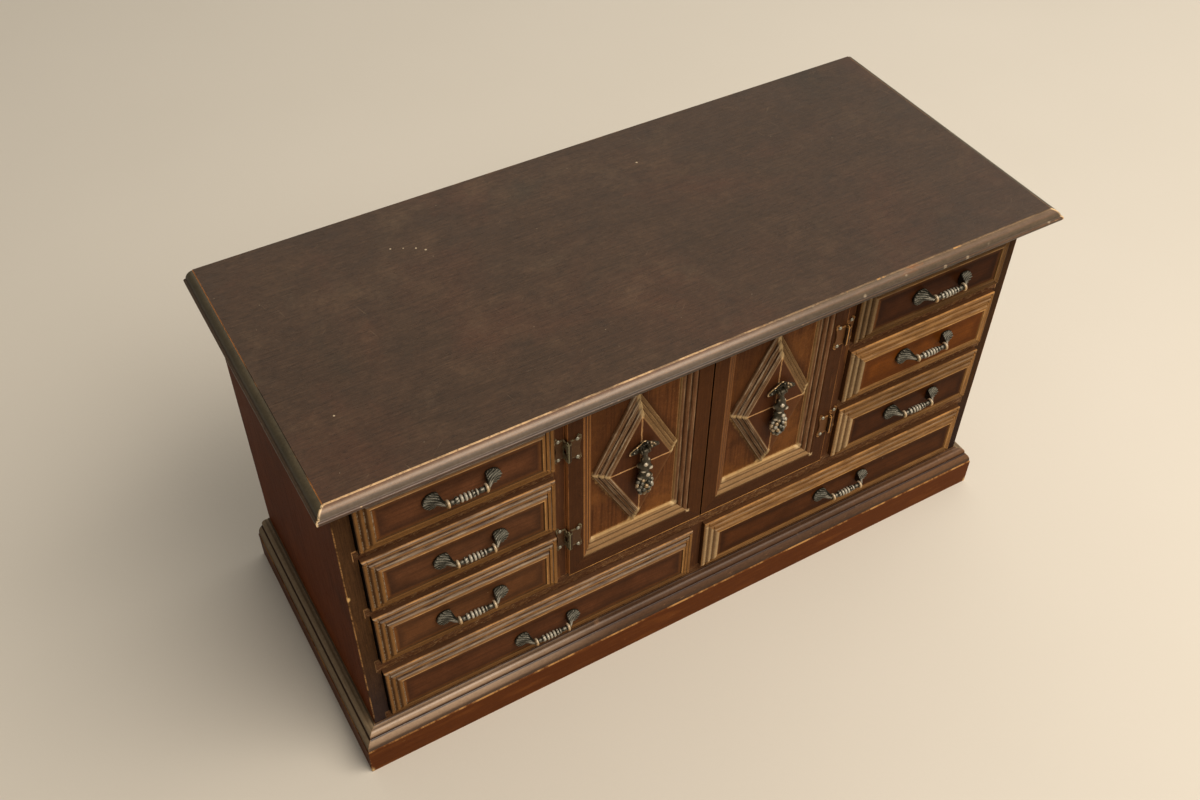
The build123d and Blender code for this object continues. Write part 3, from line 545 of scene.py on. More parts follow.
def plinth_material(name, axis, s=0):
    g = G(name)
    broad, streak, pores, _ = grain(g, axis, 4.0 + s, 8.0)
    d = (FACE_Y - g.y) if axis == "x" else (abs(g.x) - SIDE_X)
    t = g.x if axis == "x" else g.y
    z = g.z
    long = g.noise(g.vec(t * 0.02, z * 0.12, 2.0 + s), 1.0, 4.0, 0.6)
    fine = g.noise(g.vec(t * 0.45, z * 1.1, d * 1.1), 1.0, 4.0, 0.66)
    # board below the beads
    c = g.mix(streak, C(78, 39, 17), C(102, 56, 25))
    c = g.mix(g.ease(long, 0.48, 0.7, 0.0, 0.7), c, C(116, 67, 30))
    c = g.mix(g.ease(streak, 0.55, 0.8, 0.0, 0.5), c, C(56, 31, 18))
    scuff = g.noise(g.vec(t * 0.10 + z * 0.05, z * 0.55, 7.0), 1.0, 5.0, 0.75)
    c = g.mix(g.ease(scuff, 0.645, 0.735, 0.0, 0.75), c, C(180, 130, 76))
    c = g.mix(g.ease(scuff, 0.36, 0.28, 0.0, 0.5), c, C(58, 32, 18))
    if axis == "y":
        c = g.mix(0.45, c, C(62, 40, 27))
    # beads: mauve brown, painted lighter on the left as a painted highlight, with painted shade in the hollow between
    # them
    beads = g.more(z, 16.12)
    half = g.ease(g.x, -150.0, -40.0) if axis == "x" else None
    lit = g.ease(g.nz, 0.12, 0.72)
    bc = g.mix(fine, C(100, 76, 59), C(140, 112, 90))
    if axis == "x":
        # painted highlight: the front beads are lighter towards the left end
        bc = g.mix(half, bc, g.mix(fine, C(56, 37, 26), C(92, 64, 44)))
        bc = g.mix(g.ease(g.x, 100.0, 165.0, 0.0, 0.6), bc, g.mix(fine, C(84, 56, 36), C(130, 92, 60)))
    else:
        bc = g.mix(fine, C(86, 71, 53), C(133, 117, 91))
    # painted highlight on the crown of the upper bead, strongest on the left, and on the upward-facing shoulder of the
    # lower one; grey painted shade on the downward-facing parts under them
    crown = g.hi(g.ease(z, 23.0, 24.2) * g.ease(z, 25.5, 25.3), lit * g.less(z, 21.4) * 0.8)
    bc = g.mix(crown * g.m("MULTIPLY_ADD", half, -0.75, 0.8) if axis == "x" else crown * 0.15, bc, g.mix(fine, C(150, 120, 94), C(196, 168, 138)))
    low = g.hi(g.ease(z, 19.2, 17.8), g.ease(z, 22.9, 22.4) * g.more(z, 21.5) * 0.6)
    bc = g.mix(low * (0.75 if axis == "x" else 0.5), bc, g.mix(fine, C(52, 40, 33), C(84, 68, 56)))
    # painted shade in the groove between the beads, at the foot of the lower bead and along the top against the case
    bc = g.mix(g.near(z, 21.95, 0.42, 0.35), bc, C(50, 31, 22))
    bc = g.mix(g.near(z, 16.3, 0.2, 0.2) * 0.7, bc, C(60, 38, 28))
    bc = g.mix(g.ease(z, 25.3, 25.5) * 0.6, bc, C(52, 34, 24))
    wear = g.ease(g.noise(g.vec(t * 0.12, z * 0.5, 11.0), 1.0, 4.0, 0.7), 0.60, 0.72)
    bc = g.mix(wear * 0.5, bc, C(150, 112, 80) if axis == "x" else C(118, 96, 70))
    c = g.mix(beads, c, bc)
    # gold arris under the lower bead
    ga = g.near(z, 15.75, 0.28, 0.22) * g.more(d, 7.6)
    gw = g.ease(g.noise(g.vec(t * 0.05, 1.0, 4.0), 1.0, 5.0, 0.72), 0.40, 0.58)
    c = g.mix(ga * g.hi(gw, 0.15) * (0.8 if axis == "x" else 0.35), c, g.mix(gw, C(120, 78, 42), C(196, 146, 88)))
    # a little wear along the upper bead on the right
    if axis == "x":
        ow = g.near(z, 24.2, 0.5, 0.4) * g.ease(g.noise(g.vec(t * 0.06, 8.0, 1.0), 1.0, 4.0, 0.7), 0.58, 0.68) * g.ease(g.x, 60.0, 110.0)
        c = g.mix(ow * 0.8, c, C(190, 116, 60))
    # bare wood at the front corners
    ex = SIDE_X + PLINTH_D - abs(g.x)
    ey = g.y - (FACE_Y - PLINTH_D)
    corner = g.ease(g.hi(ex, ey), 2.0, 0.5) * g.ease(z, 2.4, -1.6)
    c = g.mix(corner * g.ease(fine, 0.3, 0.45), c, C(222, 184, 128))
    vert = g.ease(g.hi(ex, ey), 0.7, 0.25) * g.ease(g.noise(g.vec(3.0, s, z * 0.3), 1.0, 3.0, 0.6), 0.5, 0.62)
    c = g.mix(vert * 0.7, c, C(176, 126, 76))
    mit = g.ease(abs(ex - ey), 0.55, 0.15) * beads * g.ease(fine, 0.35, 0.55)
    c = g.mix(mit * 0.5, c, C(176, 138, 100))
    foot = g.ease(z, -1.5, -2.05) * g.more(d, 6.5)
    c = g.mix(foot * g.ease(scuff, 0.4, 0.6, 0.1, 0.8), c, C(140, 98, 60))
    inside = g.less(d, 0.2)
    c = g.mix(inside, c, g.mix(streak, C(112, 80, 50), C(146, 108, 70)))
    c = speckle(g, c, 0.14)
    rough = g.m("MULTIPLY_ADD", beads, -0.06, 0.44) + fine * 0.06
    h = streak * 0.3 + g.noise(g.p, 0.14, 3.0, 0.5) * 0.9 - g.ease(scuff, 0.665, 0.735) * 0.8
    if axis == "x":
        spec = g.m("MULTIPLY_ADD", beads * g.m("MULTIPLY_ADD", lit, 0.92, 0.08), g.m("MULTIPLY_ADD", half, -0.5, 0.75), 0.02)
    else:
        spec = g.m("MULTIPLY_ADD", beads * lit, 0.10, 0.02)
    return g.finish(c, rough, h, 0.09, bevel=0.25, specular=spec)


# --------------------------------------------------------------------------
# drawer fronts
def zone(g, s, a, b, soft=0.16):
    """1 from a to b."""
    return g.ease(s, a - soft / 2, a + soft / 2) * g.ease(s, b + soft / 2, b - soft / 2)


def front_material(name, xa, xb, z0, z1, seed, panel_dark, panel_mid, dusty):
    """dusty 0: gilt reeds with dark hollows; 1: rubbed to a dry tan."""
    g = G(name)
    ex = g.lo(g.x - xa, xb - g.x)
    ez = g.lo(g.z - z0, z1 - g.z)
    s = g.lo(ex, ez)
    side = g.less(ex, ez)
    top = g.more(g.z, (z0 + z1) / 2) * (1.0 - side)
    bottom = g.less(g.z, (z0 + z1) / 2) * (1.0 - side)
    left = g.less(g.x, (xa + xb) / 2) * side
    right = side * (1.0 - left)
    t = g.m("MULTIPLY_ADD", side, g.z * 1.0 + 500.0, (1.0 - side) * g.x)
    broad, streak, pores, _ = grain(g, "x", seed, 5.0)
    # panel: a light halo beside the band, a dark zone, then the warmer middle
    mott = g.noise(g.p, 0.035, 4.0, 0.6, 0.4)
    p = g.mix(g.ease(mott, 0.3, 0.7), g.tint(panel_mid, 0.80), g.tint(panel_mid, 1.16))
    p = g.mix(g.ease(streak, 0.4, 0.75, 0.0, 0.5), p, panel_dark)
    p = g.mix(g.ease(s + (mott - 0.5) * 5.0, 15.5, 9.8, 0.0, 0.75), p, panel_dark)
    halo = g.ease(s + (mott - 0.5) * 2.0, 10.4, 8.6) * g.hi(left * 0.75, right * 0.4, 0.3)
    p = g.mix(halo * (1.0 - 0.7 * dusty), p, C(122, 76, 38))
    p = g.mix(pore_mask(g, pores) * 0.35, p, g.tint(panel_dark, 0.5))
    sp, rr = g.cells(g.p, 0.16)
    p = g.mix(g.ease(sp, 0.045, 0.02) * g.more(rr, 0.88) * 0.6, p, C(190, 156, 118))
    # band: colours of the crests, flanks and hollows of the reeds on each side
    n1 = g.noise(g.vec(t * 0.030, s * 0.35, seed), 1.0, 4.0, 0.62)
    n2 = g.noise(g.vec(t * 0.75, s * 1.3, seed + 3.0), 1.0, 3.0, 0.66)
    n3 = g.noise(g.vec(t * 0.024, seed * 3.1, 6.0), 1.0, 2.0, 0.5)
    n4 = g.noise(g.vec(t * 0.06, s * 2.6, seed + 5.0), 1.0, 3.0, 0.6)
    crest_c = g.mix(n1, C(108, 73, 40), C(148, 107, 62))
    flank_c = g.mix(n2, C(80, 53, 32), C(116, 82, 50))
    # the sloping tops catch the light: grey pink, streaked
    flank_t = g.mix(g.ease(n4, 0.40, 0.66), C(66, 46, 34), C(134, 111, 89))
    flank_c = g.mix(top * 0.85, flank_c, flank_t)
    hollow_c = g.mix(left, g.mix(n2, C(42, 27, 17), C(72, 47, 28)), g.mix(n2, C(80, 55, 34), C(114, 82, 52)))
    if dusty:
        tan = g.mix(g.ease(n4, 0.34, 0.66), C(110, 76, 43), C(145, 107, 64))
        crest_c = g.mix(dusty, crest_c, g.mix(left, tan, g.mix(n2, C(156, 126, 88), C(192, 164, 124))))
        flank_c = g.mix(dusty, flank_c, g.mix(left, g.tint(tan, 0.93), g.mix(n2, C(134, 104, 74), C(172, 142, 106))))
        hollow_c = g.mix(dusty * 0.85, hollow_c, g.mix(left, g.tint(tan, 0.78), g.mix(n2, C(118, 90, 64), C(150, 122, 90))))
    flats = crest_c
    band = flats
    band = g.mix(g.hi(zone(g, s, -1.0, 0.72), zone(g, s, 2.62, 3.38), zone(g, s, 5.32, 6.08)), band, flank_c)
    band = g.mix(g.hi(zone(g, s, 2.04, 2.54), zone(g, s, 4.74, 5.24)) * g.m("MULTIPLY_ADD", bottom, -0.45, 1.0), band, hollow_c)
    band = g.mix(bottom * (0.4 - 0.3 * dusty), band, C(78, 50, 24))
    drop = zone(g, s, 7.42, 8.25)
    band = g.mix(drop * (0.8 - 0.5 * dusty), band, g.mix(top, hollow_c, flank_c))
    band = g.mix(g.ease(n3, 0.56, 0.36, 0.0, 0.45), band, g.tint(band, 0.66))
    # dust: beaded along the hollows of the uprights, dashed along the tops
    bead = g.ease(g.noise(g.vec(t * 1.25, s * 0.5, seed + 8.0), 1.0, 1.0, 0.5), 0.42, 0.58)
    dash = g.ease(g.noise(g.vec(t * 0.07, s * 2.2, seed + 9.0), 1.0, 4.0, 0.7), 0.42, 0.60)
    gap = g.hi(g.near(s, 2.30, 0.24, 0.2), g.near(s, 5.0, 0.24, 0.2), g.near(s, 7.85, 0.24, 0.2))
    dm = gap * bead * left * 0.55
    dm = g.hi(dm, g.hi(g.near(s, 3.0, 0.13, 0.16), g.near(s, 5.7, 0.13, 0.16), g.near(s, 0.45, 0.1, 0.14)) * dash * top * 0.5)
    dm = g.hi(dm, g.near(s, 2.5, 0.2, 0.2) * dash * right * 0.35)
    dm = dm * g.ease(n1, 0.28, 0.48, 0.45, 1.0) * (1.0 - 0.5 * dusty)
    band = g.mix(dm, band, C(168, 152, 130))
    # bright rubbed lines
    cw = g.ease(g.noise(g.vec(t * 0.045, 2.0, seed), 1.0, 4.0, 0.68), 0.38, 0.60)
    inner = g.near(s, 7.22, 0.16, 0.2) * g.hi(top * 0.8, right * 0.55, left * 0.12, bottom * 0.12) * g.m("MULTIPLY_ADD", cw, 0.75, 0.2)
    band = g.mix(inner, band, C(214, 160, 94))
    mid = g.hi(g.near(s, 4.55, 0.13, 0.16), g.near(s, 1.9, 0.13, 0.16)) * g.hi(top * 0.7, right * 0.6) * g.m("MULTIPLY_ADD", cw, 0.5, 0.3)
    band = g.mix(mid, band, C(192, 138, 78))
    arris = g.ease(s, 0.42, 0.12) * g.less(g.y, -69.0)
    aw = g.ease(g.noise(g.vec(t * 0.05, 9.0, seed), 1.0, 4.0, 0.68), 0.38, 0.60)
    band = g.mix(arris * g.m("MULTIPLY_ADD", aw, 0.6, 0.15), band, C(196, 144, 84))
    # the darkest drawer on the right, and duller reeds round the other two
    if xa > 0 and z0 > 150.0:
        band = g.tint(band, 0.52)
    elif xa > 0 and z0 > 110.0:
        band = g.mix(left * 0.8, band, g.tint(band, 0.62))
    elif xa > 0 and z0 > 60.0:
        band = g.mix(top * 0.8, band, g.tint(band, 0.76))
    c = g.mix(g.ease(s, 8.12, 8.32), band, p)
    # edges of the board and its back
    edge = g.more(g.y, -70.9)
    c = g.mix(edge, c, g.mix(streak, C(62, 39, 24), C(88, 58, 35)))
    # painted shade: the left end of each left drawer is near black, the shade in the gap beside the stile
    if xb < 0:
        c = g.mix(g.hi(edge, g.ease(g.x, xa + 0.34, xa + 0.24)) * g.less(g.nx, -0.4), c, C(20, 13, 9))
    backf = g.more(g.y, -64.2)
    c = g.mix(backf, c, g.mix(streak, C(128, 90, 56), C(160, 118, 76)))
    c = speckle(g, c, 0.24, 1.8)
    isband = g.less(s, 8.1)
    rough = g.m("MULTIPLY_ADD", isband, 0.03, 0.40) + dm * 0.3 + n2 * 0.06
    h = streak * 0.22 + dm * bead * 0.7 + g.noise(g.p, 0.2, 2.0, 0.5) * 0.5 + n2 * isband * 0.6
    spec = g.m("MULTIPLY_ADD", isband * top, 0.25 if not dusty else 0.04, 0.02)
    return g.finish(c, rough, h, 0.09, bevel=0.14, specular=spec)


# --------------------------------------------------------------------------
# doors
def frame_material(name, xa, xb, seed):
    g = G(name)
    left = xb < 0
    ux = g.lo(g.x - xa, xb - g.x)
    uz = g.lo(g.z - DOOR_Z0, DOOR_Z1 - g.z)
    q = g.lo(ux - STILE_W, uz - RAIL_W)
    upright = g.less(ux - STILE_W, uz - RAIL_W)
    isleft = g.less(g.x, (xa + xb) / 2) * upright
    isright = (1.0 - g.less(g.x, (xa + xb) / 2)) * upright
    isbot = g.less(g.z, 140.0) * (1.0 - upright)
    istop = g.more(g.z, 140.0) * (1.0 - upright)
    t = g.m("MULTIPLY_ADD", upright, g.z + 500.0, (1.0 - upright) * g.x)
    o = g.m("MULTIPLY_ADD", upright, g.x, (1.0 - upright) * g.z)
    w = g.noise(g.vec(t * 0.008, o * 0.05, seed), 1.0, 2.0)
    streak = g.noise(g.vec(t * 0.02, (o + w * 5.0) * 0.95, seed), 1.0, 4.0, 0.6)
    pores = g.noise(g.vec(t * 0.25, o * 4.5, g.y * 4.5), 1.0, 2.0, 0.6)
    n1 = g.noise(g.vec(t * 0.03, q * 0.3, seed), 1.0, 4.0, 0.6)
    n2 = g.noise(g.vec(t * 0.6, q * 1.2, seed + 4.0), 1.0, 3.0, 0.66)
    n4 = g.noise(g.vec(t * 0.05, q * 2.4, seed + 5.0), 1.0, 3.0, 0.6)
    # flat members
    c = g.mix(streak, C(52, 30, 17), C(78, 47, 26))
    meeting = isright if left else isleft
    c = g.mix(meeting * g.m("MULTIPLY_ADD", n1, 0.4, 0.15), c, g.mix(streak, C(66, 38, 16), C(96, 56, 25)))
    c = g.mix(g.ease(n1, 0.58, 0.75, 0.0, 0.5), c, C(104, 66, 36))
    c = g.mix(pore_mask(g, pores) * 0.4, c, C(34, 20, 13))
    # reeds
    m = g.mix(n2, C(98, 64, 38), C(132, 90, 54))
    m = g.mix(isright * 0.85, m, g.mix(n2, C(86, 54, 33), C(118, 80, 52)))
    m = g.mix(isbot * 0.9, m, g.mix(n4, C(112, 82, 52), C(164, 130, 88)))
    m = g.mix(isleft * 0.85, m, g.mix(n2, C(82, 49, 26), C(116, 72, 36)))
    dark = g.hi(g.near(q, 2.68, 0.22, 0.22), g.near(q, 4.95, 0.20, 0.22), g.near(q, 0.22, 0.16, 0.16))
    m = g.mix(dark * g.m("MULTIPLY_ADD", isbot, -0.3, 0.8), m, C(50, 31, 20))
    lines = g.hi(g.near(q, 0.72, 0.13, 0.16), g.near(q, 3.2, 0.13, 0.16), g.near(q, 5.5, 0.14, 0.16))
    m = g.mix(lines * isleft * g.m("MULTIPLY_ADD", n1, 0.5, 0.35 if left else -0.1), m, C(182, 124, 64))
    dash = g.ease(g.noise(g.vec(t * 0.09, q * 1.6, seed + 9.0), 1.0, 4.0, 0.7), 0.40, 0.60)
    hair = g.ease(g.noise(g.vec(t * 0.045, q * 3.4, seed + 2.0), 1.0, 3.0, 0.6), 0.54, 0.66)
    m = g.mix(g.hi(lines * dash * 0.55, hair * 0.4) * (1.0 - isleft), m, C(176, 148, 112))
    inner = g.near(q, 6.95, 0.28, 0.25)
    m = g.mix(inner * (isright * 0.6 + isbot) * g.m("MULTIPLY_ADD", n2, 0.6, 0.35), m, C(198, 164, 112))
    c = g.mix(g.ease(q, -0.05, 0.12), c, m)
    # dust lying in the lower corners
    for cx in (xa + STILE_W + MOULD_W, xb - STILE_W - MOULD_W):
        k = 0.9 if cx > (xa + xb) / 2 else 0.5
        dx, dz = g.x - cx, g.z - (DOOR_Z0 + RAIL_W + MOULD_W)
        r = g.m("SQRT", dx * dx + dz * dz) + n2 * 2.4
        c = g.mix(g.ease(r, 3.8, 1.4, 0.0, k), c, C(216, 188, 142))
    oc = g.hi(abs(g.x - (xb - STILE_W)), abs(g.z - (DOOR_Z0 + RAIL_W)))
    c = g.mix(g.ease(oc + n2 * 1.5, 2.2, 1.0, 0.0, 0.8), c, C(210, 180, 136))
    # worn outer arrises: the foot is the brightest
    aw = g.ease(g.noise(g.vec(t * 0.045, 9.0, seed), 1.0, 4.0, 0.68), 0.34, 0.54)
    foot = g.ease(g.z - DOOR_Z0, 0.55, 0.18) * g.less(g.y, -69.8)
    c = g.mix(foot * g.m("MULTIPLY_ADD", aw, 0.65, 0.3), c, C(218, 160, 90))
    va = g.ease(ux, 0.35, 0.10) * g.less(g.y, -69.8) * g.m("MULTIPLY_ADD", g.less(abs(g.x), 2.0), -0.8, 1.0)
    c = g.mix(va * aw * 0.7, c, C(170, 114, 62))
    # edges: raw wood, painted lighter still for the little light that reaches them, painted light; the meeting edges
    # are near black, painted shade in the gap between the doors
    side = g.more(g.y, -70.9) * g.less(q, 0.0)
    c = g.mix(side, c, g.mix(streak, C(112, 70, 42), C(146, 96, 60)))
    c = g.mix(side * g.less(abs(g.x), 1.0), c, C(18, 12, 8))
    # painted light: the left-facing edges of the left door are lighter still
    if left:
        c = g.mix(side * g.less(g.nx, -0.5), c, g.mix(streak, C(158, 102, 60), C(190, 128, 78)))
    backf = g.more(g.y, DOOR_BACK - 0.1)
    c = g.mix(backf, c, g.mix(streak, C(78, 50, 32), C(104, 70, 44)))
    c = speckle(g, c, 0.24, 1.8)
    rough = g.m("MULTIPLY_ADD", g.ease(q, 0.0, 0.3), 0.08, 0.38) + n2 * 0.06
    h = streak * 0.25 - pore_mask(g, pores) * 0.3 + n2 * g.more(q, 0.0) * 0.7
    spec = g.m("MULTIPLY_ADD", g.more(q, 0.0), 0.05, 0.02)
    return g.finish(c, rough, h, 0.09, bevel=0.14, specular=spec)


def panel_material(name, xa, xb, seed):
    g = G(name)
    xc, zc = (xa + xb) / 2, (DOOR_Z0 + DOOR_Z1) / 2
    broad, streak, pores, _ = grain(g, "z", seed, 6.0)
    n2 = g.noise(g.p, 0.5, 4.0, 0.7)
    n1 = g.noise(g.p, 0.04, 4.0, 0.62)
    dx, dz = g.x - xc, g.z - zc
    lz = g.m("MULTIPLY_ADD", abs(dx), 1.0 / LOZ_A, abs(dz) * (1.0 / LOZ_B)) - 1.0
    sl = lz * 21.43
    c = g.mix(g.ease(streak, 0.28, 0.72), C(75, 44, 23), C(105, 63, 33))
    c = g.mix(g.ease(n1, 0.46, 0.68, 0.0, 0.7), c, C(122, 76, 37))
    c = g.mix(g.ease(n1, 0.42, 0.28, 0.0, 0.6), c, C(62, 35, 18))
    c = g.mix(g.ease(n2, 0.54, 0.70, 0.0, 0.35), c, C(132, 90, 50))
    if xa > 0:
        c = g.tint(c, 0.88)
    c = g.mix(g.ease(dx, 4.0, -14.0) * g.ease(dz, -14.0, 8.0) * 0.5, c, C(66, 38, 20))
    c = g.mix(g.ease(sl, 4.0, 0.4, 0.0, 0.5), c, C(58, 34, 19))
    c = g.mix(pore_mask(g, pores) * 0.45, c, C(36, 21, 12))
    # dust against the lozenge's lower left side and along the foot
    ll = g.less(dx, 0.0) * g.less(dz, 2.0) * g.ease(sl + n2 * 4.4, 3.7, 1.9)
    c = g.mix(ll * g.ease(dz, -30.0, -6.0, 0.25, 0.75), c, C(182, 142, 90))
    foot = g.ease(g.z - 94.5 + n2 * 3.6, 3.4, 1.6)
    c = g.mix(foot * 0.7, c, C(178, 134, 84))
    rl = xb - STILE_W - MOULD_W - g.x
    c = g.mix(g.ease(rl + n2 * 1.2, 1.4, 0.7) * 0.6, c, C(184, 140, 90))
    tip = g.ease(g.m("SQRT", dx * dx + (g.z - 94.9) * (g.z - 94.9)) + n2 * 4.5, 6.2, 3.4)
    c = g.mix(tip * 0.75, c, C(208, 174, 122))
    backf = g.more(g.y, DOOR_BACK - 0.1)
    c = g.mix(backf, c, g.mix(streak, C(78, 50, 32), C(104, 70, 44)))
    c = speckle(g, c, 0.24, 1.8)
    rough = g.m("MULTIPLY_ADD", n2, 0.15, 0.4)
    h = streak * 0.3 - pore_mask(g, pores) * 0.3 + n2 * 0.3
    return g.finish(c, rough, h, 0.09, specular=0.03)


def lozenge_material(name, xa, xb, seed):
    g = G(name)
    xc, zc = (xa + xb) / 2, (DOOR_Z0 + DOOR_Z1) / 2
    dx, dz = g.x - xc, g.z - zc
    s = (1.0 - g.m("MULTIPLY_ADD", abs(dx), 1.0 / LOZ_A, abs(dz) * (1.0 / LOZ_B))) * 21.43
    lf = g.less(dx, 0.0)
    upq = g.more(dz, 0.0)
    t = g.m("MULTIPLY_ADD", abs(dz), 1.0, lf * 200.0 + upq * 90.0)
    n1 = g.noise(g.vec(t * 0.04, s * 0.3, seed), 1.0, 4.0, 0.6)
    n2 = g.noise(g.vec(t * 0.7, s * 1.3, seed + 4.0), 1.0, 3.0, 0.66)
    dash = g.ease(g.noise(g.vec(t * 0.10, s * 1.8, seed + 9.0), 1.0, 4.0, 0.7), 0.40, 0.60)
    hair = g.ease(g.noise(g.vec(t * 0.05, s * 3.6, seed + 2.0), 1.0, 3.0, 0.6), 0.52, 0.64)
    dots = g.noise(g.vec(t * 1.6, s * 2.2, seed + 6.0), 1.0, 3.0, 0.7)
    # slopes
    m = g.mix(n2, C(84, 58, 38), C(120, 87, 58))
    ur = (1.0 - lf) * upq
    m = g.mix(ur * 0.85, m, g.mix(g.ease(dots, 0.34, 0.66), C(76, 55, 34), C(130, 101, 66)))
    lr = (1.0 - lf) * (1.0 - upq)
    m = g.mix(lr * 0.8, m, g.mix(n2, C(88, 53, 27), C(108, 68, 36)))
    dark = g.hi(g.near(s, 2.02, 0.18, 0.25), g.near(s, 3.97, 0.18, 0.25)) * g.m("MULTIPLY_ADD", ur, -0.65, 1.0)
    m = g.mix(dark * 0.8, m, C(54, 34, 22))
    lines = g.hi(g.near(s, 0.35, 0.12, 0.16), g.near(s, 2.45, 0.10, 0.15), g.near(s, 4.4, 0.10, 0.15), g.near(s, 5.95, 0.16, 0.16))
    m = g.mix(g.hi(lines * g.hi(dash * 0.85, 0.2), hair * 0.45) * lf, m, C(190, 168, 140))
    m = g.mix(lines * (1.0 - lf) * (1.0 - lr) * dash * 0.4, m, C(186, 152, 104))
    if xa > 0:
        m = g.tint(m, 0.86)
    # plateau
    streak = g.noise(g.vec(g.x * 0.9, g.y * 0.9, g.z * 0.02), 1.0, 4.0, 0.6)
    c = g.mix(streak, C(60, 33, 19), C(84, 49, 27))
    # painted light: the lower right quarter of the plateau is lighter, as a lit facet
    c = g.mix(lr * 0.7, c, g.mix(streak, C(82, 49, 25), C(104, 63, 33)))
    near_edge = g.near(s, 6.2, 0.16, 0.25) * (1.0 - lr * 0.85)
    c = g.mix(near_edge * 0.45, c, C(168, 128, 84))
    cn = g.noise(g.p, 0.16, 3.0, 0.6)
    wob = (g.noise(g.p, 0.35, 2.0, 0.5) - 0.5) * 0.5
    cross = g.hi(g.near(dz + wob, 0.0, 0.32, 0.18), g.near(dx + wob, 0.0, 0.28, 0.18))
    c = g.mix(cross * g.m("MULTIPLY_ADD", cn, 0.5, 0.5), c, g.mix(cn, C(184, 130, 80), C(226, 184, 130)))
    c = g.mix(g.ease(s, 6.12, 6.02), c, m)
    # rubbed and dusty points
    pt = g.hi(g.ease(abs(dx) + n2 * 2.0, 17.0, 19.0) * g.ease(abs(dz), 1.6, 0.5), g.ease(abs(dz) + n2 * 3.0, 33.0, 36.0) * g.ease(abs(dx), 1.5, 0.5))
    c = g.mix(pt * 0.55, c, C(206, 176, 128))
    c = speckle(g, c, 0.26, 2.0)
    rough = g.m("MULTIPLY_ADD", g.ease(s, 6.1, 6.0), 0.10, 0.38) + n2 * 0.08
    h = streak * 0.2 + n2 * g.less(s, 6.0) * 0.8
    return g.finish(c, rough, h, 0.09, bevel=0.12, specular=0.03)


# --------------------------------------------------------------------------
# plainer woods, felt
def plain_wood(name, axis, dark, light, seed, rough0=0.5, pores_dark=0.4, red=None):
    g = G(name)
    broad, streak, pores, _ = grain(g, axis, seed, 10.0)
    c = g.mix(broad, dark, light)
    c = g.mix(g.ease(streak, 0.4, 0.75, 0.0, 0.5), c, g.tint(dark, 0.75))
    if red:
        c = g.mix(g.ease(g.noise(g.p, 0.02, 3.0), 0.5, 0.7, 0.0, 0.5), c, red)
    c = g.mix(pore_mask(g, pores) * pores_dark, c, g.tint(dark, 0.45))
    spots = g.noise(g.p, 0.06, 4.0, 0.65)
    c = g.mix(g.ease(spots, 0.62, 0.8, 0.0, 0.25), c, g.tint(light, 1.25))
    h = streak * 0.35 - pore_mask(g, pores) * 0.4
    return g.finish(c, g.m("MULTIPLY_ADD", streak, 0.15, rough0), h, 0.1, bevel=0.2)


def hardboard(name):
    g = G(name)
    n = g.noise(g.p, 0.9, 5.0, 0.7)
    b = g.noise(g.p, 0.02, 3.0, 0.6)
    c = g.mix(n, C(92, 66, 44), C(126, 94, 64))
    c = g.mix(g.ease(b, 0.45, 0.7, 0.0, 0.5), c, C(86, 58, 38))
    fl = g.noise(g.vec(g.x * 0.6, g.y, g.z * 1.6), 1.0, 3.0, 0.7)
    c = g.mix(g.ease(fl, 0.62, 0.72, 0.0, 0.5), c, C(64, 42, 28))
    return g.finish(c, 0.72, n, 0.12, bevel=0.2)


def felt_material(name):
    g = G(name)
    n = g.noise(g.p, 1.6, 5.0, 0.75)
    f = g.noise(g.vec(g.x * 3.2, g.y * 3.2, g.z * 3.2), 1.0, 3.0, 0.7, 1.5)
    b = g.noise(g.p, 0.02, 3.0, 0.6)
    c = g.mix(n, C(84, 16, 24), C(118, 28, 36))
    c = g.mix(g.ease(f, 0.45, 0.7, 0.0, 0.4), c, C(140, 46, 52))
    c = g.mix(g.ease(b, 0.5, 0.7, 0.0, 0.35), c, C(74, 14, 22))
    return g.finish(c, 0.95, n * 0.5 + f * 0.6, 0.25, sheen=0.35, specular=0.15)


# --------------------------------------------------------------------------
# metals. The attribute wear is 1 on rubbed ridges and on painted highlights on the lit sides, gold is 1 on rubbed
# brass.
def cast_material(name):
    g = G(name)
    w = g.attr("wear")
    gd = g.attr("gold")
    n = g.noise(g.p, 1.5, 4.0, 0.65)
    n2 = g.noise(g.p, 0.35, 3.0, 0.6)
    c = g.mix(n, C(36, 35, 29), C(62, 60, 49))
    c = g.mix(g.ease(n2, 0.5, 0.75, 0.0, 0.4), c, C(58, 48, 32))
    # worn: pale metal on rubbed ridges and on painted highlights
    worn = g.ease(w + (n - 0.5) * 0.35, 0.42, 0.88)
    c = g.mix(worn * 0.92, c, g.mix(n2, C(150, 144, 130), C(198, 190, 172)))
    gw = gd * g.ease(n + w * 0.3, 0.40, 0.75, 0.2, 1.0)
    c = g.mix(gw, c, g.mix(n2, C(196, 144, 84), C(236, 204, 150)))
    rough = g.m("MULTIPLY_ADD", worn, -0.10, 0.44) - gw * 0.06
    metal = g.m("MULTIPLY_ADD", worn, -0.45, 0.65)
    return g.finish(c, rough, n * 0.6 + n2, 0.08, metal=metal)


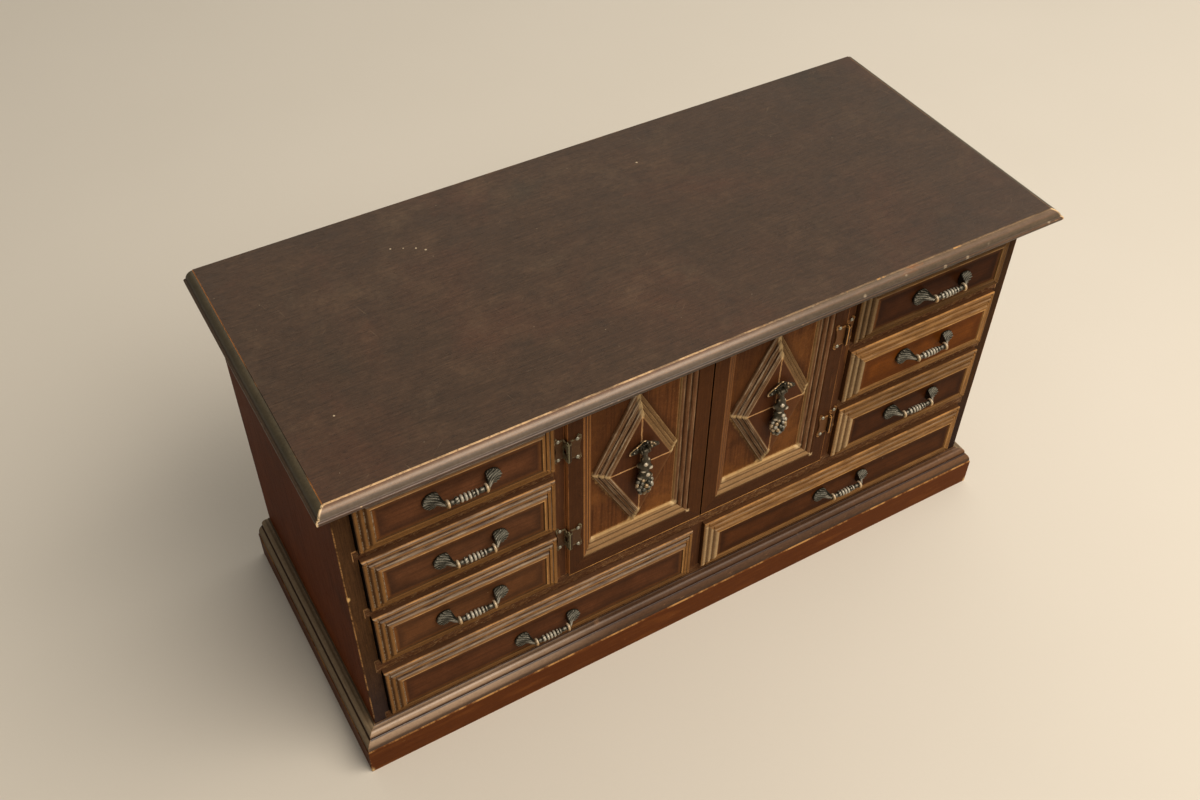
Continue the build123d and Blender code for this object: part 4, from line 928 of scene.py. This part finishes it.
def hinge_material(name):
    """Hinges were stained over with the case; their edges are rubbed."""
    g = G(name)
    n = g.noise(g.p, 0.9, 4.0, 0.65)
    n2 = g.noise(g.p, 0.25, 3.0, 0.6)
    ax = abs(g.x)
    right = g.more(g.x, 0.0)
    c = g.mix(n2, C(58, 38, 22), C(86, 58, 34))
    c = g.mix(right * 0.5, c, C(110, 70, 36))
    c = g.mix(g.ease(n, 0.52, 0.75, 0.0, 0.45), c, C(90, 74, 48))
    # painted shade: the knuckle is darker than the plates
    c = g.mix(g.less(g.y, -71.9) * 0.85, c, C(46, 31, 19))
    rubbed_and_highlight = g.mix(right, C(132, 126, 98), C(190, 140, 84))
    # one painted highlight line down the knuckle, and rubbed outlines
    k = g.near(g.x - g.m("MULTIPLY_ADD", right, 158.6, -79.3), -0.55, 0.13, 0.16) * g.less(g.y, -72.0)
    c = g.mix(k * g.ease(n, 0.3, 0.5, 0.5, 1.0), c, rubbed_and_highlight)
    e = g.hi(g.near(ax, 80.5, 0.16, 0.16), g.near(ax, 85.1, 0.16, 0.2), g.near(ax, 72.4, 0.16, 0.2))
    c = g.mix(e * g.ease(n, 0.35, 0.6) * 0.7, c, rubbed_and_highlight)
    for z in (108.6, 173.0):
        for dz in (-8.0, 8.0):
            c = g.mix(g.near(g.z, z + dz, 0.3, 0.4) * g.ease(n, 0.35, 0.6) * 0.7, c, rubbed_and_highlight)
        for dz in (-5.75, 5.75):
            c = g.mix(g.near(g.z, z + dz, 0.12, 0.2) * g.ease(n, 0.35, 0.6) * 0.6, c, rubbed_and_highlight)
    return g.finish(c, g.m("MULTIPLY_ADD", n, 0.2, 0.36), n * 0.8 + n2, 0.08, bevel=0.12, specular=0.07)


def nail_material(name):
    g = G(name)
    n = g.noise(g.p, 1.6, 3.0, 0.6)
    c = g.mix(n, C(104, 102, 88), C(182, 178, 160))
    return g.finish(c, g.m("MULTIPLY_ADD", n, 0.2, 0.3), n, 0.06, metal=0.6)


def brass_material(name):
    g = G(name)
    n = g.noise(g.p, 0.8, 4.0, 0.65)
    c = g.mix(n, C(176, 130, 62), C(224, 184, 110))
    c = g.mix(g.ease(n, 0.62, 0.8, 0.0, 0.6), c, C(96, 70, 36))
    return g.finish(c, g.m("MULTIPLY_ADD", n, 0.2, 0.22), n, 0.05, metal=1.0)


def floor_material():
    g = G("floor_plain")
    n = g.noise(g.p, 0.004, 3.0, 0.5)
    c = g.mix(n, C(208, 202, 191), C(214, 208, 198))
    return g.finish(c, 0.75, g.noise(g.p, 0.4, 2.0, 0.5), 0.05, specular=0.2)


floor_mesh = bpy.data.meshes.new("floor")
bm = bmesh.new()
bmesh.ops.create_grid(bm, x_segments=8, y_segments=8, size=6.0)
bm.to_mesh(floor_mesh)
bm.free()
floor = bpy.data.objects.new("floor", floor_mesh)
bpy.context.scene.collection.objects.link(floor)
floor.data.materials.append(floor_material())


# --------------------------------------------------------------------------
# dress the frame's own nodes
def dress(node, mat):
    o = NODES[node]
    o.data.materials.clear()
    o.data.materials.append(mat)


dress("top_board", top_material())
dress("side_board_left", side_material("side_left_wood", -1))
dress("side_board_right", side_material("side_right_wood", 1))
dress("drawer_shelves_left", shelf_material("shelves_left_wood", [(113.9, 119.7), (156.5, 162.3)], 5.0))
dress("drawer_shelves_right", shelf_material("shelves_right_wood", [(113.9, 119.7), (156.5, 162.3)], 6.3))
dress("main_deck", shelf_material("main_deck_wood", [(68.2, 77.1)], 7.1, 0.8))
dress("bottom_board", shelf_material("bottom_board_wood", [(25.6, 31.0)], 8.2, 0.6, 0.7))
dress("top_rails", shelf_material("top_rails_wood", [(199.5, 206.7)], 9.0, 0.4, 0.4))
dress("partition_left", upright_material("partition_left_wood", 3.3))
dress("partition_right", upright_material("partition_right_wood", 5.9))
dress("centre_partition", upright_material("centre_partition_wood", 7.7))
dress("plinth_front", plinth_material("plinth_front_wood", "x"))
dress("plinth_left", plinth_material("plinth_left_wood", "y", -1))
dress("plinth_right", plinth_material("plinth_right_wood", "y", 1))
dress("back_panel", hardboard("back_panel_board"))
dress("compartment_lining", felt_material("compartment_felt"))
dark_strip = plain_wood("dark_strip_wood", "x", C(58, 36, 24), C(84, 54, 34), 12.0)
dress("door_stop", dark_strip)
dress("necklace_rail", dark_strip)
brass = brass_material("polished_brass")
dress("necklace_hooks", brass)
hinge = hinge_material("stained_hinge_brass")
nails = nail_material("rubbed_nail_heads")
dress("hinge_leaves_carcass", hinge)
dress("hinge_pins", hinge)
dress("hinge_nails_carcass", nails)

box_mat = plain_wood("drawer_box_wood", "y", C(150, 112, 72), C(184, 146, 100), 14.0, 0.55)

SMALL, LONG = (86.1, 182.3), (3.9, 182.3)
FEET = {"bottom": 31.4, "lower": 77.5, "middle": 120.1, "upper": 162.7}
# panel tones: dark, middle, then how far the reeds are rubbed to a dry tan
TONES = {
    ("left", "upper"): (C(60, 38, 26), C(95, 59, 37), 0.0),
    ("left", "middle"): (C(57, 37, 25), C(88, 55, 34), 0.0),
    ("left", "lower"): (C(64, 41, 26), C(100, 63, 37), 0.0),
    ("left", "bottom"): (C(58, 35, 22), C(88, 52, 30), 0.0),
    ("right", "upper"): (C(38, 19, 9), C(62, 33, 15), 0.6),
    ("right", "middle"): (C(78, 40, 12), C(104, 57, 17), 1.0),
    ("right", "lower"): (C(43, 22, 10), C(67, 36, 16), 0.85),
    ("right", "bottom"): (C(48, 26, 12), C(78, 43, 19), 0.85),
}
drawers = []
seed = 1.0
for side in ("left", "right"):
    for level, z0 in FEET.items():
        a, b = LONG if level == "bottom" else SMALL
        if side == "left":
            a, b = -b, -a
        name = f"drawer_{side}_{level}"
        drawers.append((name, a, b, z0))
        pd, pm, du = TONES[(side, level)]
        seed += 2.37
        dress(name + "_front", front_material(name + "_wood", a, b, z0, z0 + 36.4, seed, pd, pm, du))
        dress(name + "_box", box_mat)

for side in ("left", "right"):
    a, b = (DOOR_IN, DOOR_OUT) if side == "right" else (-DOOR_OUT, -DOOR_IN)
    sd = 3.0 if side == "left" else 8.0
    dress(f"door_{side}_frame", frame_material(f"door_{side}_frame_wood", a, b, sd))
    dress(f"door_{side}_panel", panel_material(f"door_{side}_panel_wood", a, b, sd + 1))
    dress(f"door_{side}_lozenge", lozenge_material(f"door_{side}_lozenge_wood", a, b, sd + 2))
    dress(f"door_{side}_hinge_leaves", hinge)
    dress(f"door_{side}_hinge_nails", nails)

cast = cast_material("antiqued_cast_brass")


# --------------------------------------------------------------------------
# mesh building, in mm
class Mesh:
    """Vertices with a wear value, for rubbing and painted highlights, and a gold value, and faces."""

    def __init__(self):
        self.v, self.w, self.g, self.f = [], [], [], []

    def add(self, co, wear=0.0, gold=0.0):
        self.v.append(co)
        self.w.append(max(0.0, min(1.0, wear)))
        self.g.append(max(0.0, min(1.0, gold)))
        return len(self.v) - 1

    def grid(self, rows, closed=True, cap=(False, False)):
        """rows: lists of vertex indices of equal length, joined in order."""
        n = len(rows[0])
        last = n if closed else n - 1
        for a, b in zip(rows, rows[1:]):
            for i in range(last):
                j = (i + 1) % n
                self.f.append((a[i], a[j], b[j], b[i]))
        if cap[0]:
            self.f.append(tuple(reversed(rows[0])))
        if cap[1]:
            self.f.append(tuple(rows[-1]))

    def object(self, name, mat, at=(0, 0, 0), smooth=True):
        me = bpy.data.meshes.new(name)
        me.from_pydata([((x + at[0]) * MM, (y + at[1]) * MM, (z + at[2] + LIFT) * MM) for x, y, z in self.v], [], self.f)
        for key, vals in (("wear", self.w), ("gold", self.g)):
            att = me.attributes.new(key, "FLOAT", "POINT")
            att.data.foreach_set("value", vals)
        bm = bmesh.new()
        bm.from_mesh(me)
        bmesh.ops.recalc_face_normals(bm, faces=bm.faces)
        bm.to_mesh(me)
        bm.free()
        for p in me.polygons:
            p.use_smooth = smooth
        me.materials.append(mat)
        o = bpy.data.objects.new(name, me)
        bpy.context.scene.collection.objects.link(o)
        return o


def lathe(m, prof, at, axis, seg=28, wear=None, gold=None, shape=None, close=True):
    """Turned form. prof: (distance along the axis, radius). shape(t, angle)
    multiplies the radius."""
    rows = []
    for i, (t, r) in enumerate(prof):
        row = []
        for k in range(seg):
            a = 2 * math.pi * k / seg
            rr = r * (shape(t, a) if shape else 1.0)
            c, s = math.cos(a) * rr, math.sin(a) * rr
            if axis == "x":
                co = (at[0] + t, at[1] + c, at[2] + s)
            elif axis == "y":
                co = (at[0] + c, at[1] + t, at[2] + s)
            else:
                co = (at[0] + c, at[1] + s, at[2] + t)
            w = wear(t, r, a) if callable(wear) else (wear or 0.0)
            gl = gold(t, r, a) if callable(gold) else (gold or 0.0)
            row.append(m.add(co, w, gl))
        rows.append(row)
    m.grid(rows, True, (close, close))


def smooth_profile(keys, step):
    """Catmull-Rom through (t, r) keys."""
    out = []
    pts = [keys[0]] + list(keys) + [keys[-1]]
    for i in range(1, len(pts) - 2):
        p0, p1, p2, p3 = pts[i - 1], pts[i], pts[i + 1], pts[i + 2]
        n = max(2, int(abs(p2[0] - p1[0]) / step) + 1)
        for k in range(n):
            u = k / n
            q = []
            for j in (0, 1):
                q.append(0.5 * (2 * p1[j] + (p2[j] - p0[j]) * u + (2 * p0[j] - 5 * p1[j] + 4 * p2[j] - p3[j]) * u * u
                                + (-p0[j] + 3 * p1[j] - 3 * p2[j] + p3[j]) * u ** 3))
            out.append((q[0], max(q[1], 0.02)))
    out.append(keys[-1])
    return out


def arc_profile(spans):
    """Turned beads: (start, end, radius at the foot, radius at the crest)."""
    out = []
    for a, b, r0, r1 in spans:
        n = 9
        for k in range(n):
            u = k / (n - 1)
            out.append((a + (b - a) * u, r0 + (r1 - r0) * math.sqrt(max(0.0, 1 - (2 * u - 1) ** 2)) if r1 != r0
                        else r0))
    clean = [out[0]]
    for t, r in out[1:]:
        if t - clean[-1][0] < 1e-4:
            t = clean[-1][0] + 0.02
        clean.append((t, r))
    return clean


def screw_head(m, at, r, h):
    """Domed head with a slot, facing +Y."""
    rings = 9
    seg = 36
    rows = []
    for i in range(rings + 1):
        u = i / rings
        rr = r * (1 - u) + 0.02
        y = h * math.sqrt(max(0.0, 1 - (rr / r) ** 2 * 0.97))
        row = []
        for k in range(seg):
            a = 2 * math.pi * k / seg
            x, z = rr * math.cos(a), rr * math.sin(a)
            inside = abs(x * 0.8 + z * 0.6) < 0.33
            row.append(m.add((at[0] + x, at[1] + (y * 0.35 if inside else y), at[2] + z), 0.0 if inside else 0.8, 0.5))
        rows.append(row)
    base = [m.add((at[0] + (r) * math.cos(2 * math.pi * k / seg), at[1], at[2] + (r) * math.sin(2 * math.pi * k / seg)), 0.3, 0.3)
            for k in range(seg)]
    m.grid([base] + rows, True, (True, True))


def table(keys, u):
    """Smooth value at u from rising (u, value) keys."""
    if u <= keys[0][0]:
        return keys[0][1]
    for (a, va), (b, vb) in zip(keys, keys[1:]):
        if u <= b:
            t = (u - a) / (b - a)
            return va + (vb - va) * t
    return keys[-1][1]


FOOT_H = [(-4.8, 7.5), (-4.0, 7.35), (-3.2, 6.85), (-2.4, 6.0), (-1.5, 4.9), (-0.5, 3.8), (0.5, 2.95), (1.5, 2.3), (2.5, 1.85),
          (3.5, 1.4), (4.3, 0.95), (4.9, 0.4)]
FOOT_W = [(-4.8, 1.15), (-4.1, 1.2), (-3.6, 1.5), (-3.2, 2.3), (-2.8, 3.1), (-2.2, 3.75), (-1.4, 4.3), (-0.5, 4.65), (0.5, 4.8), (1.5, 4.7),
          (2.4, 4.35), (3.2, 3.75), (3.9, 2.95), (4.4, 2.1), (4.75, 1.25), (4.92, 0.5)]


def foot(m, cx, dx):
    """End of a drawer pull: a round shell of curved ribs lying on the wood,
    with the arm rising out of it to the collar. dx is the side it is on."""
    nu, nf, nb = 54, 80, 16
    rows = []
    for i in range(nu + 1):
        t = i / nu
        u = -4.8 + 9.72 * (1.0 - (1.0 - t) ** 1.25)
        hf = table(FOOT_H, u)
        W = table(FOOT_W, u)
        hb = max(0.0, min(hf - 2.2, hf - 2.2 - (u + 3.6) * 3.4))
        zc = 0.8 * max(0.0, min(1.0, (0.5 - u) / 4.4))
        on = max(0.0, min(1.0, (u + 3.8) / 1.6))
        aw = 1.25 + 0.16 * max(0.0, u + 4.0)
        row = []
        for k in range(nf):
            w = -1.0 + 2.0 * k / (nf - 1)
            v = W * math.sin(w * math.pi / 2)
            r = math.hypot(v, u + 5.2)
            ang = math.atan2(v, u + 5.2)
            ph = ang * 33.0 + 0.42 * r + 1.1
            rib = math.cos(ph)
            lay = math.cos(w * math.pi / 2) ** 0.6
            skirt = hb + 0.35 + on * (0.45 + 0.95 * lay)
            bell = math.exp(-(v / aw) ** 2)
            body = max(skirt, skirt + (hf - skirt) * bell)
            y = body + 0.34 * rib * on * min(1.0, lay * 1.6 + 0.2)
            sharp = max(0.0, 0.5 + 0.5 * rib) ** 2.6
            scal = 1.0 + 0.045 * rib * max(0.0, (u + 2.0) / 7.0)
            wear = 0.12 + (0.60 - 0.15 * (1.0 - lay)) * sharp * (0.35 + 0.65 * on)
            wear += 0.55 * math.exp(-((v - 0.35) / 0.55) ** 2) * max(0.0, min(1.0, (0.4 - u) / 2.0))
            row.append(m.add((cx + dx * u, -max(0.05, y), zc + v * scal), wear, 0.6 * max(0.0, (-3.6 - u) / 1.2)))
        for k in range(1, nb + 1):
            w = 1.0 - 2.0 * k / (nb + 1)
            v = W * math.sin(w * math.pi / 2) * 0.95
            row.append(m.add((cx + dx * u, -hb, zc + v), 0.0, 0.0))
        rows.append(row)
    m.grid(rows, True, (True, True))


def pull_mesh(phase=0.0, ox=0.0, oz=0.0):
    """Cast pull and its screws. The casting is fixed ox and oz off its place:
    each was screwed on by eye."""
    m = Mesh()
    for dx in (-1, 1):
        foot(m, dx * 14.0, dx)
        # collar, a round knob with a rubbed underside
        prof = arc_profile([(-1.25, -0.8, 1.1, 1.5), (-0.77, 0.77, 1.2, 2.1 if dx < 0 else 2.25), (0.8, 1.25, 1.0, 1.4)])
        if dx > 0:
            prof = [(-t, r) for t, r in reversed(prof)]
        lathe(m, prof, (dx * 9.2, -6.4, 0.8), "x", 32,
              wear=lambda t, r, a: (0.25 + 0.75 * (r > 1.5)) * (0.55 + 0.45 * math.sin(a)),
              gold=lambda t, r, a: (r > 1.4) * max(0.0, 0.80 - 0.55 * math.sin(a)))
    # turned bar: neck, a ball, four barrels with deep grooves between, neck
    half = [(-8.4, 1.0), (-7.6, 1.05), (-6.9, 1.3), (-6.2, 1.15)]
    balls = [(-6.1, -4.0, 0.9, 1.85), (-3.75, -2.05, 0.95, 1.9), (-1.75, -0.15, 0.95, 1.95), (0.15, 1.7, 0.95, 1.9),
             (2.0, 3.5, 0.9, 1.85), (3.8, 5.1, 0.9, 1.6)]
    tail = [(5.3, 1.0), (6.4, 1.3), (7.4, 1.15), (8.4, 1.0)]
    prof = half + arc_profile(balls) + tail

    def cut(t, a):
        """Slanting nicks on the ball and the last barrels."""
        for c, w in ((-5.05, 1.05), (2.75, 0.75)):
            if abs(t - c) < w:
                u = (t - c) / w
                return (0.5 - 0.5 * math.cos(a * 7 + t * 1.3)) * (1 - u * u)
        return 0.0

    def shape(t, a):
        return 1.0 - 0.10 * cut(t, a)

    def wear(t, r, a):
        crest = max(0.0, min(1.0, (r - 1.0) / 0.75))
        # lit: more wear on the upper front side of the bar, a painted highlight
        lit = max(0.0, 0.62 + 0.45 * math.sin(a) - 0.22 * math.cos(a))
        w = crest * lit * (0.92 + 0.16 * math.sin(t * 2.3 + phase))
        if abs(t) > 6.2:
            w = 0.55 * lit
        return w - 0.5 * cut(t, a)

    def gold(t, r, a):
        low = max(0.0, 0.0 - math.sin(a)) * 1.25
        return low * (0.55 + 0.45 * math.sin(t * 1.9 + phase * 2.0)) * (r > 1.5)

    lathe(m, prof, (0, -6.4, 0.8), "x", 36, wear=wear, gold=gold, shape=shape)
    m.v = [(x + ox, y, z + oz) for x, y, z in m.v]
    for cx in (-14.0, 14.0):
        # screw with its head inside the drawer
        lathe(m, [(1.0, 0.85), (10.15, 0.85)], (cx, 0, 0), "y", 14, wear=0.5, gold=0.3)
        screw_head(m, (cx, 10.1, 0.0), 2.3, 1.4)
    return m


PULL_RISE = 1.3
# how far each casting sits off its place, to the right and up
OFFSETS = {"drawer_left_upper": (0.7, -0.1), "drawer_left_middle": (2.0, -0.6), "drawer_left_lower": (-0.2, -0.4),
           "drawer_left_bottom": (-1.6, -2.3), "drawer_right_upper": (2.0, -0.6), "drawer_right_middle": (0.1, 1.7),
           "drawer_right_lower": (0.7, 1.5), "drawer_right_bottom": (1.3, 1.1)}
for i, (name, a, b, z0) in enumerate(drawers):
    o = pull_mesh(i * 1.3, *OFFSETS[name]).object(name + "_pull_cast", cast, ((a + b) / 2, PANEL_Y, z0 + 18.2 + PULL_RISE))
    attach(o, name)
    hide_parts(name + "_pull")


# --------------------------------------------------------------------------
# pendant pulls
def ring_value(keys, a):
    """Periodic smooth interpolation of (degrees, value) keys, rising."""
    d = math.degrees(a) % 360.0
    n = len(keys)
    for i in range(n):
        a0, v0 = keys[i]
        a1, v1 = keys[(i + 1) % n]
        if a1 <= a0:
            a1 += 360.0
        dd = d if d >= a0 else d + 360.0
        if a0 <= dd <= a1:
            u = (dd - a0) / (a1 - a0)
            vm, vp = keys[i - 1][1], keys[(i + 2) % n][1]
            return 0.5 * (2 * v0 + (v1 - vm) * u + (2 * vm - 5 * v0 + 4 * v1 - vp) * u * u + (-vm + 3 * v0 - 3 * v1 + vp) * u ** 3)
    return keys[0][1]


def vine_leaf(m):
    """Leaf: a thin cupped sheet with two wings and a crown, its upper rim
    standing clear of the wood. Origin at the swivel; -Y is out."""
    keys = [(9.6, 7.2), (20.0, 5.9), (41.0, 4.7), (62.0, 4.5), (90.0, 5.4), (118.0, 4.5), (139.0, 4.7), (160.0, 5.9), (170.4, 7.2),
            (186.0, 8.4), (203.0, 5.9), (222.0, 4.0), (246.0, 3.2), (270.0, 3.0), (294.0, 3.2), (318.0, 4.0), (337.0, 5.9), (354.0, 8.4)]
    veins = [(354.0, 1.0), (33.0, 0.8), (90.0, 1.0), (147.0, 0.8), (186.0, 1.0)]
    cz = 1.0
    rings, seg = 26, 150
    front, back = [], []
    for i in range(rings + 1):
        rho = max(1.0 - i / rings, 0.004)
        fr, bk = [], []
        for k in range(seg):
            a = 2 * math.pi * k / seg
            vein = 0.0
            for va, vs in veins:
                d = (math.degrees(a) - va + 180.0) % 360.0 - 180.0
                vein = max(vein, vs * math.exp(-(math.radians(d) * max(rho, 0.2) / 0.085) ** 2))
            R = ring_value(keys, a) * (1.0 + 0.022 * math.sin(a * 27))
            x, z = R * rho * math.cos(a), cz + R * rho * math.sin(a)
            z = max(z, -2.55)
            upper = 0.5 + 0.5 * math.sin(a + 0.0)
            lift = 0.5 + 1.75 * max(0.0, upper) ** 0.7 + 0.5 * abs(math.cos(a)) ** 4
            h = 0.85 + lift * rho ** 2.0 + 0.20 * math.cos(a * 9) * rho * (1 - rho) * 2.0 + 0.40 * vein * (1 - 0.35 * rho)
            hb = max(0.0, 0.85 + lift * rho ** 2.0 - 0.85)
            rubbed = 80.0 < math.degrees(a) < 195.0
            wear = 0.02 + 0.42 * vein + (0.5 if rho > 0.94 and rubbed else 0.0)
            gold = 0.85 if rho > 0.93 and rubbed else 0.05
            if i == 0:
                h -= 0.12
            fr.append(m.add((x, -h, z), wear, gold))
            bk.append(m.add((x * 0.985, -hb, cz + (z - cz) * 0.985), 0.1, 0.1))
        front.append(fr)
        back.append(bk)
    m.grid(list(reversed(back)) + front, True, (True, True))


def ball(m, at, r, wear0=0.4, gold0=0.0, n=10, out=(0, -1, 0)):
    # the side towards out gets more wear: partly rubbed, partly a painted highlight
    rows = []
    seg = 16
    for i in range(n + 1):
        t = math.pi * i / n
        rr = r * max(math.sin(t), 0.012)
        row = []
        for k in range(seg):
            a = 2 * math.pi * k / seg
            d = (math.cos(a) * rr / r, math.sin(a) * rr / r, math.cos(t))
            f = d[0] * out[0] + d[1] * out[1] + d[2] * out[2]
            row.append(m.add((at[0] + d[0] * r, at[1] + d[1] * r, at[2] + d[2] * r), wear0 + 0.56 * max(0.0, f), gold0))
        rows.append(row)
    m.grid(rows, True, (True, True))


def leaf_piece(side, xc):
    m = Mesh()
    vine_leaf(m)
    for bx, by, bz, br in ((-5.5, -2.2, -0.3, 0.75), (-3.9, -2.6, 1.9, 0.55), (3.4, -2.9, 3.5, 0.85), (5.2, -2.6, 1.9, 0.8),
                           (3.7, -3.1, 1.2, 0.7), (1.3, -2.9, 4.3, 0.6), (6.4, -2.2, 0.2, 0.6)):
        ball(m, (bx, by, bz), br, 0.12, 0.3 if bx > 3 else 0.0, 8, (0.3, -0.5, 0.75))
    # two ears and the swivel pin
    for ex in (-2.15, 2.15):
        rows = []
        for k, w in ((-0.45, 0.82), (-0.3, 1.0), (0.3, 1.0), (0.45, 0.82)):
            row = []
            for j in range(26):
                a = math.pi * j / 25 - math.pi / 2
                y, z = -3.7 - 1.12 * w * math.cos(a), 1.12 * w * math.sin(a)
                row.append(m.add((ex + k, y, z), 0.15, 0.1))
            row.append(m.add((ex + k, -0.6, 1.12 * w), 0.2, 0.1))
            row.append(m.add((ex + k, -0.6, -1.12 * w), 0.2, 0.1))
            rows.append(row)
        m.grid(rows, True, (True, True))
    lathe(m, [(-2.8, 0.3), (-2.72, 0.46), (-2.6, 0.5), (2.6, 0.5), (2.72, 0.46), (2.8, 0.3)],
          (0, -3.7, 0), "x", 20, wear=0.35, gold=0.1)
    # stud through the door and a six-sided nut behind it
    lathe(m, [(0.0, 0.85), (8.9, 0.85)], (0, 0, 2.6), "y", 16, wear=0.5, gold=0.3)

    def hexa(t, a):
        b = (a % (math.pi / 3)) - math.pi / 6
        return (math.cos(math.pi / 6) / math.cos(b)) if t < 1.05 else 0.90
    lathe(m, [(0.0, 2.3), (1.0, 2.3), (1.1, 2.2), (1.2, 1.9), (1.2, 0.95), (1.45, 0.8), (1.5, 0.4)],
          (0, 8.9, 2.6), "y", 36, wear=lambda t, r, a: 0.5 + 0.3 * (t > 0.9), gold=0.5, shape=hexa)
    o = m.object(f"door_{side}_vine_leaf", cast, (xc, LOZ_Y, PULL_Z))
    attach(o, f"door_{side}")
    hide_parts(f"door_{side}_pull_leaf")


def drop_piece(side, xc, seed):
    rnd = random.Random(seed)
    m = Mesh()
    # eyelet round the pin
    rows = []
    for k in range(40):
        a = 2 * math.pi * k / 40
        row = []
        for j, (hx, r) in enumerate(((-1.5, 0.58), (-1.55, 0.8), (-1.5, 1.1), (-1.25, 1.3), (0.0, 1.35), (1.25, 1.3),
                                     (1.5, 1.1), (1.55, 0.8), (1.5, 0.58))):
            row.append(m.add((hx, r * math.cos(a), r * math.sin(a)), 0.06 + 0.14 * (r > 1.2), 0.05))
        rows.append(row)
    rows.append(rows[0])
    m.grid(rows, True)
    # stem: two knops, wrapped with leaves that twist round
    keys = [(-0.9, 1.2), (-3.0, 1.35), (-5.0, 1.9), (-7.2, 2.95), (-9.6, 3.65), (-11.6, 3.25), (-13.0, 2.65),
            (-14.3, 2.95), (-16.0, 3.6), (-17.6, 3.3), (-18.8, 2.7), (-19.6, 2.3)]
    prof = smooth_profile(keys, 0.26)

    def knob(t, a):
        """Curled leaf tips, from 0 in the hollows to 1 on the rubbed high spots."""
        return max(0.0, 0.5 + 0.5 * math.cos(a * 3 + t * 1.05 + 0.6)) * (0.55 + 0.45 * math.cos(a * 2 - t * 1.5 + 1.2 + seed))

    def shape(t, a):
        flat = 1.0 - (0.32 if math.sin(a) > 0.0 else 0.18) * abs(math.sin(a))
        rise = min(1.0, max(0.0, (-t - 4.0) / 2.0)) * (1.0 if t > -17.8 else 0.3)
        return flat * (1.0 + 0.44 * (knob(t, a) - 0.33) * rise)

    def wear(t, r, a):
        # painted highlight: the rubbed leaf tips are brightest on the right front side of the stem
        side = math.exp(-(((a - 4.65 + math.pi) % (2 * math.pi) - math.pi) / 0.9) ** 2)
        return 2.6 * max(0.0, knob(t, a) - 0.25) * (0.34 + 0.72 * side) * min(1.0, max(0.0, (-t - 3.0) / 2.0))
    lathe(m, prof, (0, 0, 0), "z", 48, wear=wear, gold=lambda t, r, a: 0.06 + 0.5 * max(0.0, knob(t, a) - 0.6), shape=shape)
    # bunch: a core and rows of grapes, flatter towards the door
    core = smooth_profile([(-17.4, 1.0), (-18.8, 2.2), (-21.4, 3.1), (-24.2, 3.15), (-26.8, 2.4), (-29.0, 1.1), (-29.8, 0.2)], 0.7)
    lathe(m, core, (0, -0.3, 0), "z", 20, wear=0.0, shape=lambda t, a: 1.0 - 0.36 * abs(math.sin(a)))
    levels = [(-18.4, 6, 2.6, 1.2), (-20.2, 7, 3.4, 1.3), (-22.3, 8, 3.8, 1.35), (-24.5, 8, 3.6, 1.35),
              (-26.6, 7, 2.95, 1.3), (-28.5, 5, 1.9, 1.2), (-30.0, 1, 0.0, 1.15)]
    for i, (z, n, ring, r) in enumerate(levels):
        for k in range(n):
            a = 2 * math.pi * (k + 0.5 * (i % 2)) / n + rnd.uniform(-0.10, 0.10)
            rr = r * rnd.uniform(0.93, 1.04)
            x = ring * math.cos(a) + rnd.uniform(-0.08, 0.08)
            y = -0.3 + 0.60 * ring * math.sin(a)
            y = max(-3.85 + rr, min(3.2 - rr, y))
            L = max(1e-6, math.hypot(math.cos(a), 0.6 * math.sin(a)))
            ball(m, (x, y, z + rnd.uniform(-0.15, 0.15)), rr, 0.23 + rnd.uniform(-0.15, 0.15), rnd.choice((0, 0, 0.25, 0.4)),
                 out=(0.5 * math.cos(a) / L, -0.55, 0.45))
    o = m.object(f"door_{side}_grape_drop", cast, (xc, PIN_Y, PULL_Z))
    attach(o, f"door_{side}_drop")
    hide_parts(f"door_{side}_drop")


for side, s in (("left", -1), ("right", 1)):
    xc = s * (DOOR_IN + DOOR_OUT) / 2
    leaf_piece(side, xc)
    drop_piece(side, xc, 11 if s < 0 else 23)


# --------------------------------------------------------------------------
# felt covered inserts in the drawers: floor, two sides and the back
felt = felt_material("drawer_felt")


def rounded(pts, r, n=4):
    """Closed outline with its corners rounded."""
    out = []
    m = len(pts)
    for i in range(m):
        p, a, b = Vector(pts[i]), Vector(pts[i - 1]), Vector(pts[(i + 1) % m])
        u, v = (a - p).normalized(), (b - p).normalized()
        s, e = p + u * r, p + v * r
        for k in range(n + 1):
            t = k / n
            out.append(tuple((1 - t) ** 2 * s + 2 * t * (1 - t) * p + t * t * e))
    return out


def insert_piece(name, xa, xb, z0):
    """Tray lining, open at the front edge for the screw heads."""
    x0, x1 = xa - 0.4 + 0.6 + 3.2 + 0.1, xb + 0.4 - 0.6 - 3.2 - 0.1
    y0, y1 = -61.9, 76.0 - 3.2 - 0.15
    zf, zt, th = z0 + 2.56, z0 + 24.0, 0.9
    m = Mesh()
    # section across the drawer, drawn once and carried from front to back
    sec = rounded([(x0, zf), (x1, zf), (x1, zt), (x1 - th, zt), (x1 - th, zf + th), (x0 + th, zf + th), (x0 + th, zt), (x0, zt)], 0.38, 3)
    rows = []
    n = 16
    for i in range(n + 1):
        y = y0 + (y1 - y0) * i / n
        rows.append([m.add((p[0], y, p[1] + 0.05 * math.sin(i * 1.7 + p[0] * 0.11) * (p[1] > zt - 0.6))) for p in sec])
    m.grid(rows, True, (True, True))
    # back strip
    sec = rounded([(y1 - th, zf + th), (y1, zf + th), (y1, zt), (y1 - th, zt)], 0.35, 3)
    rows = []
    for i in range(n + 1):
        x = x0 + th + (x1 - x0 - 2 * th) * i / n
        rows.append([m.add((x, p[0], p[1])) for p in sec])
    m.grid(rows, True, (True, True))
    o = m.object(name + "_felt_insert", felt)
    for p in o.data.polygons:
        p.use_smooth = False
    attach(o, name)


for name, a, b, z0 in drawers:
    insert_piece(name, a, b, z0)
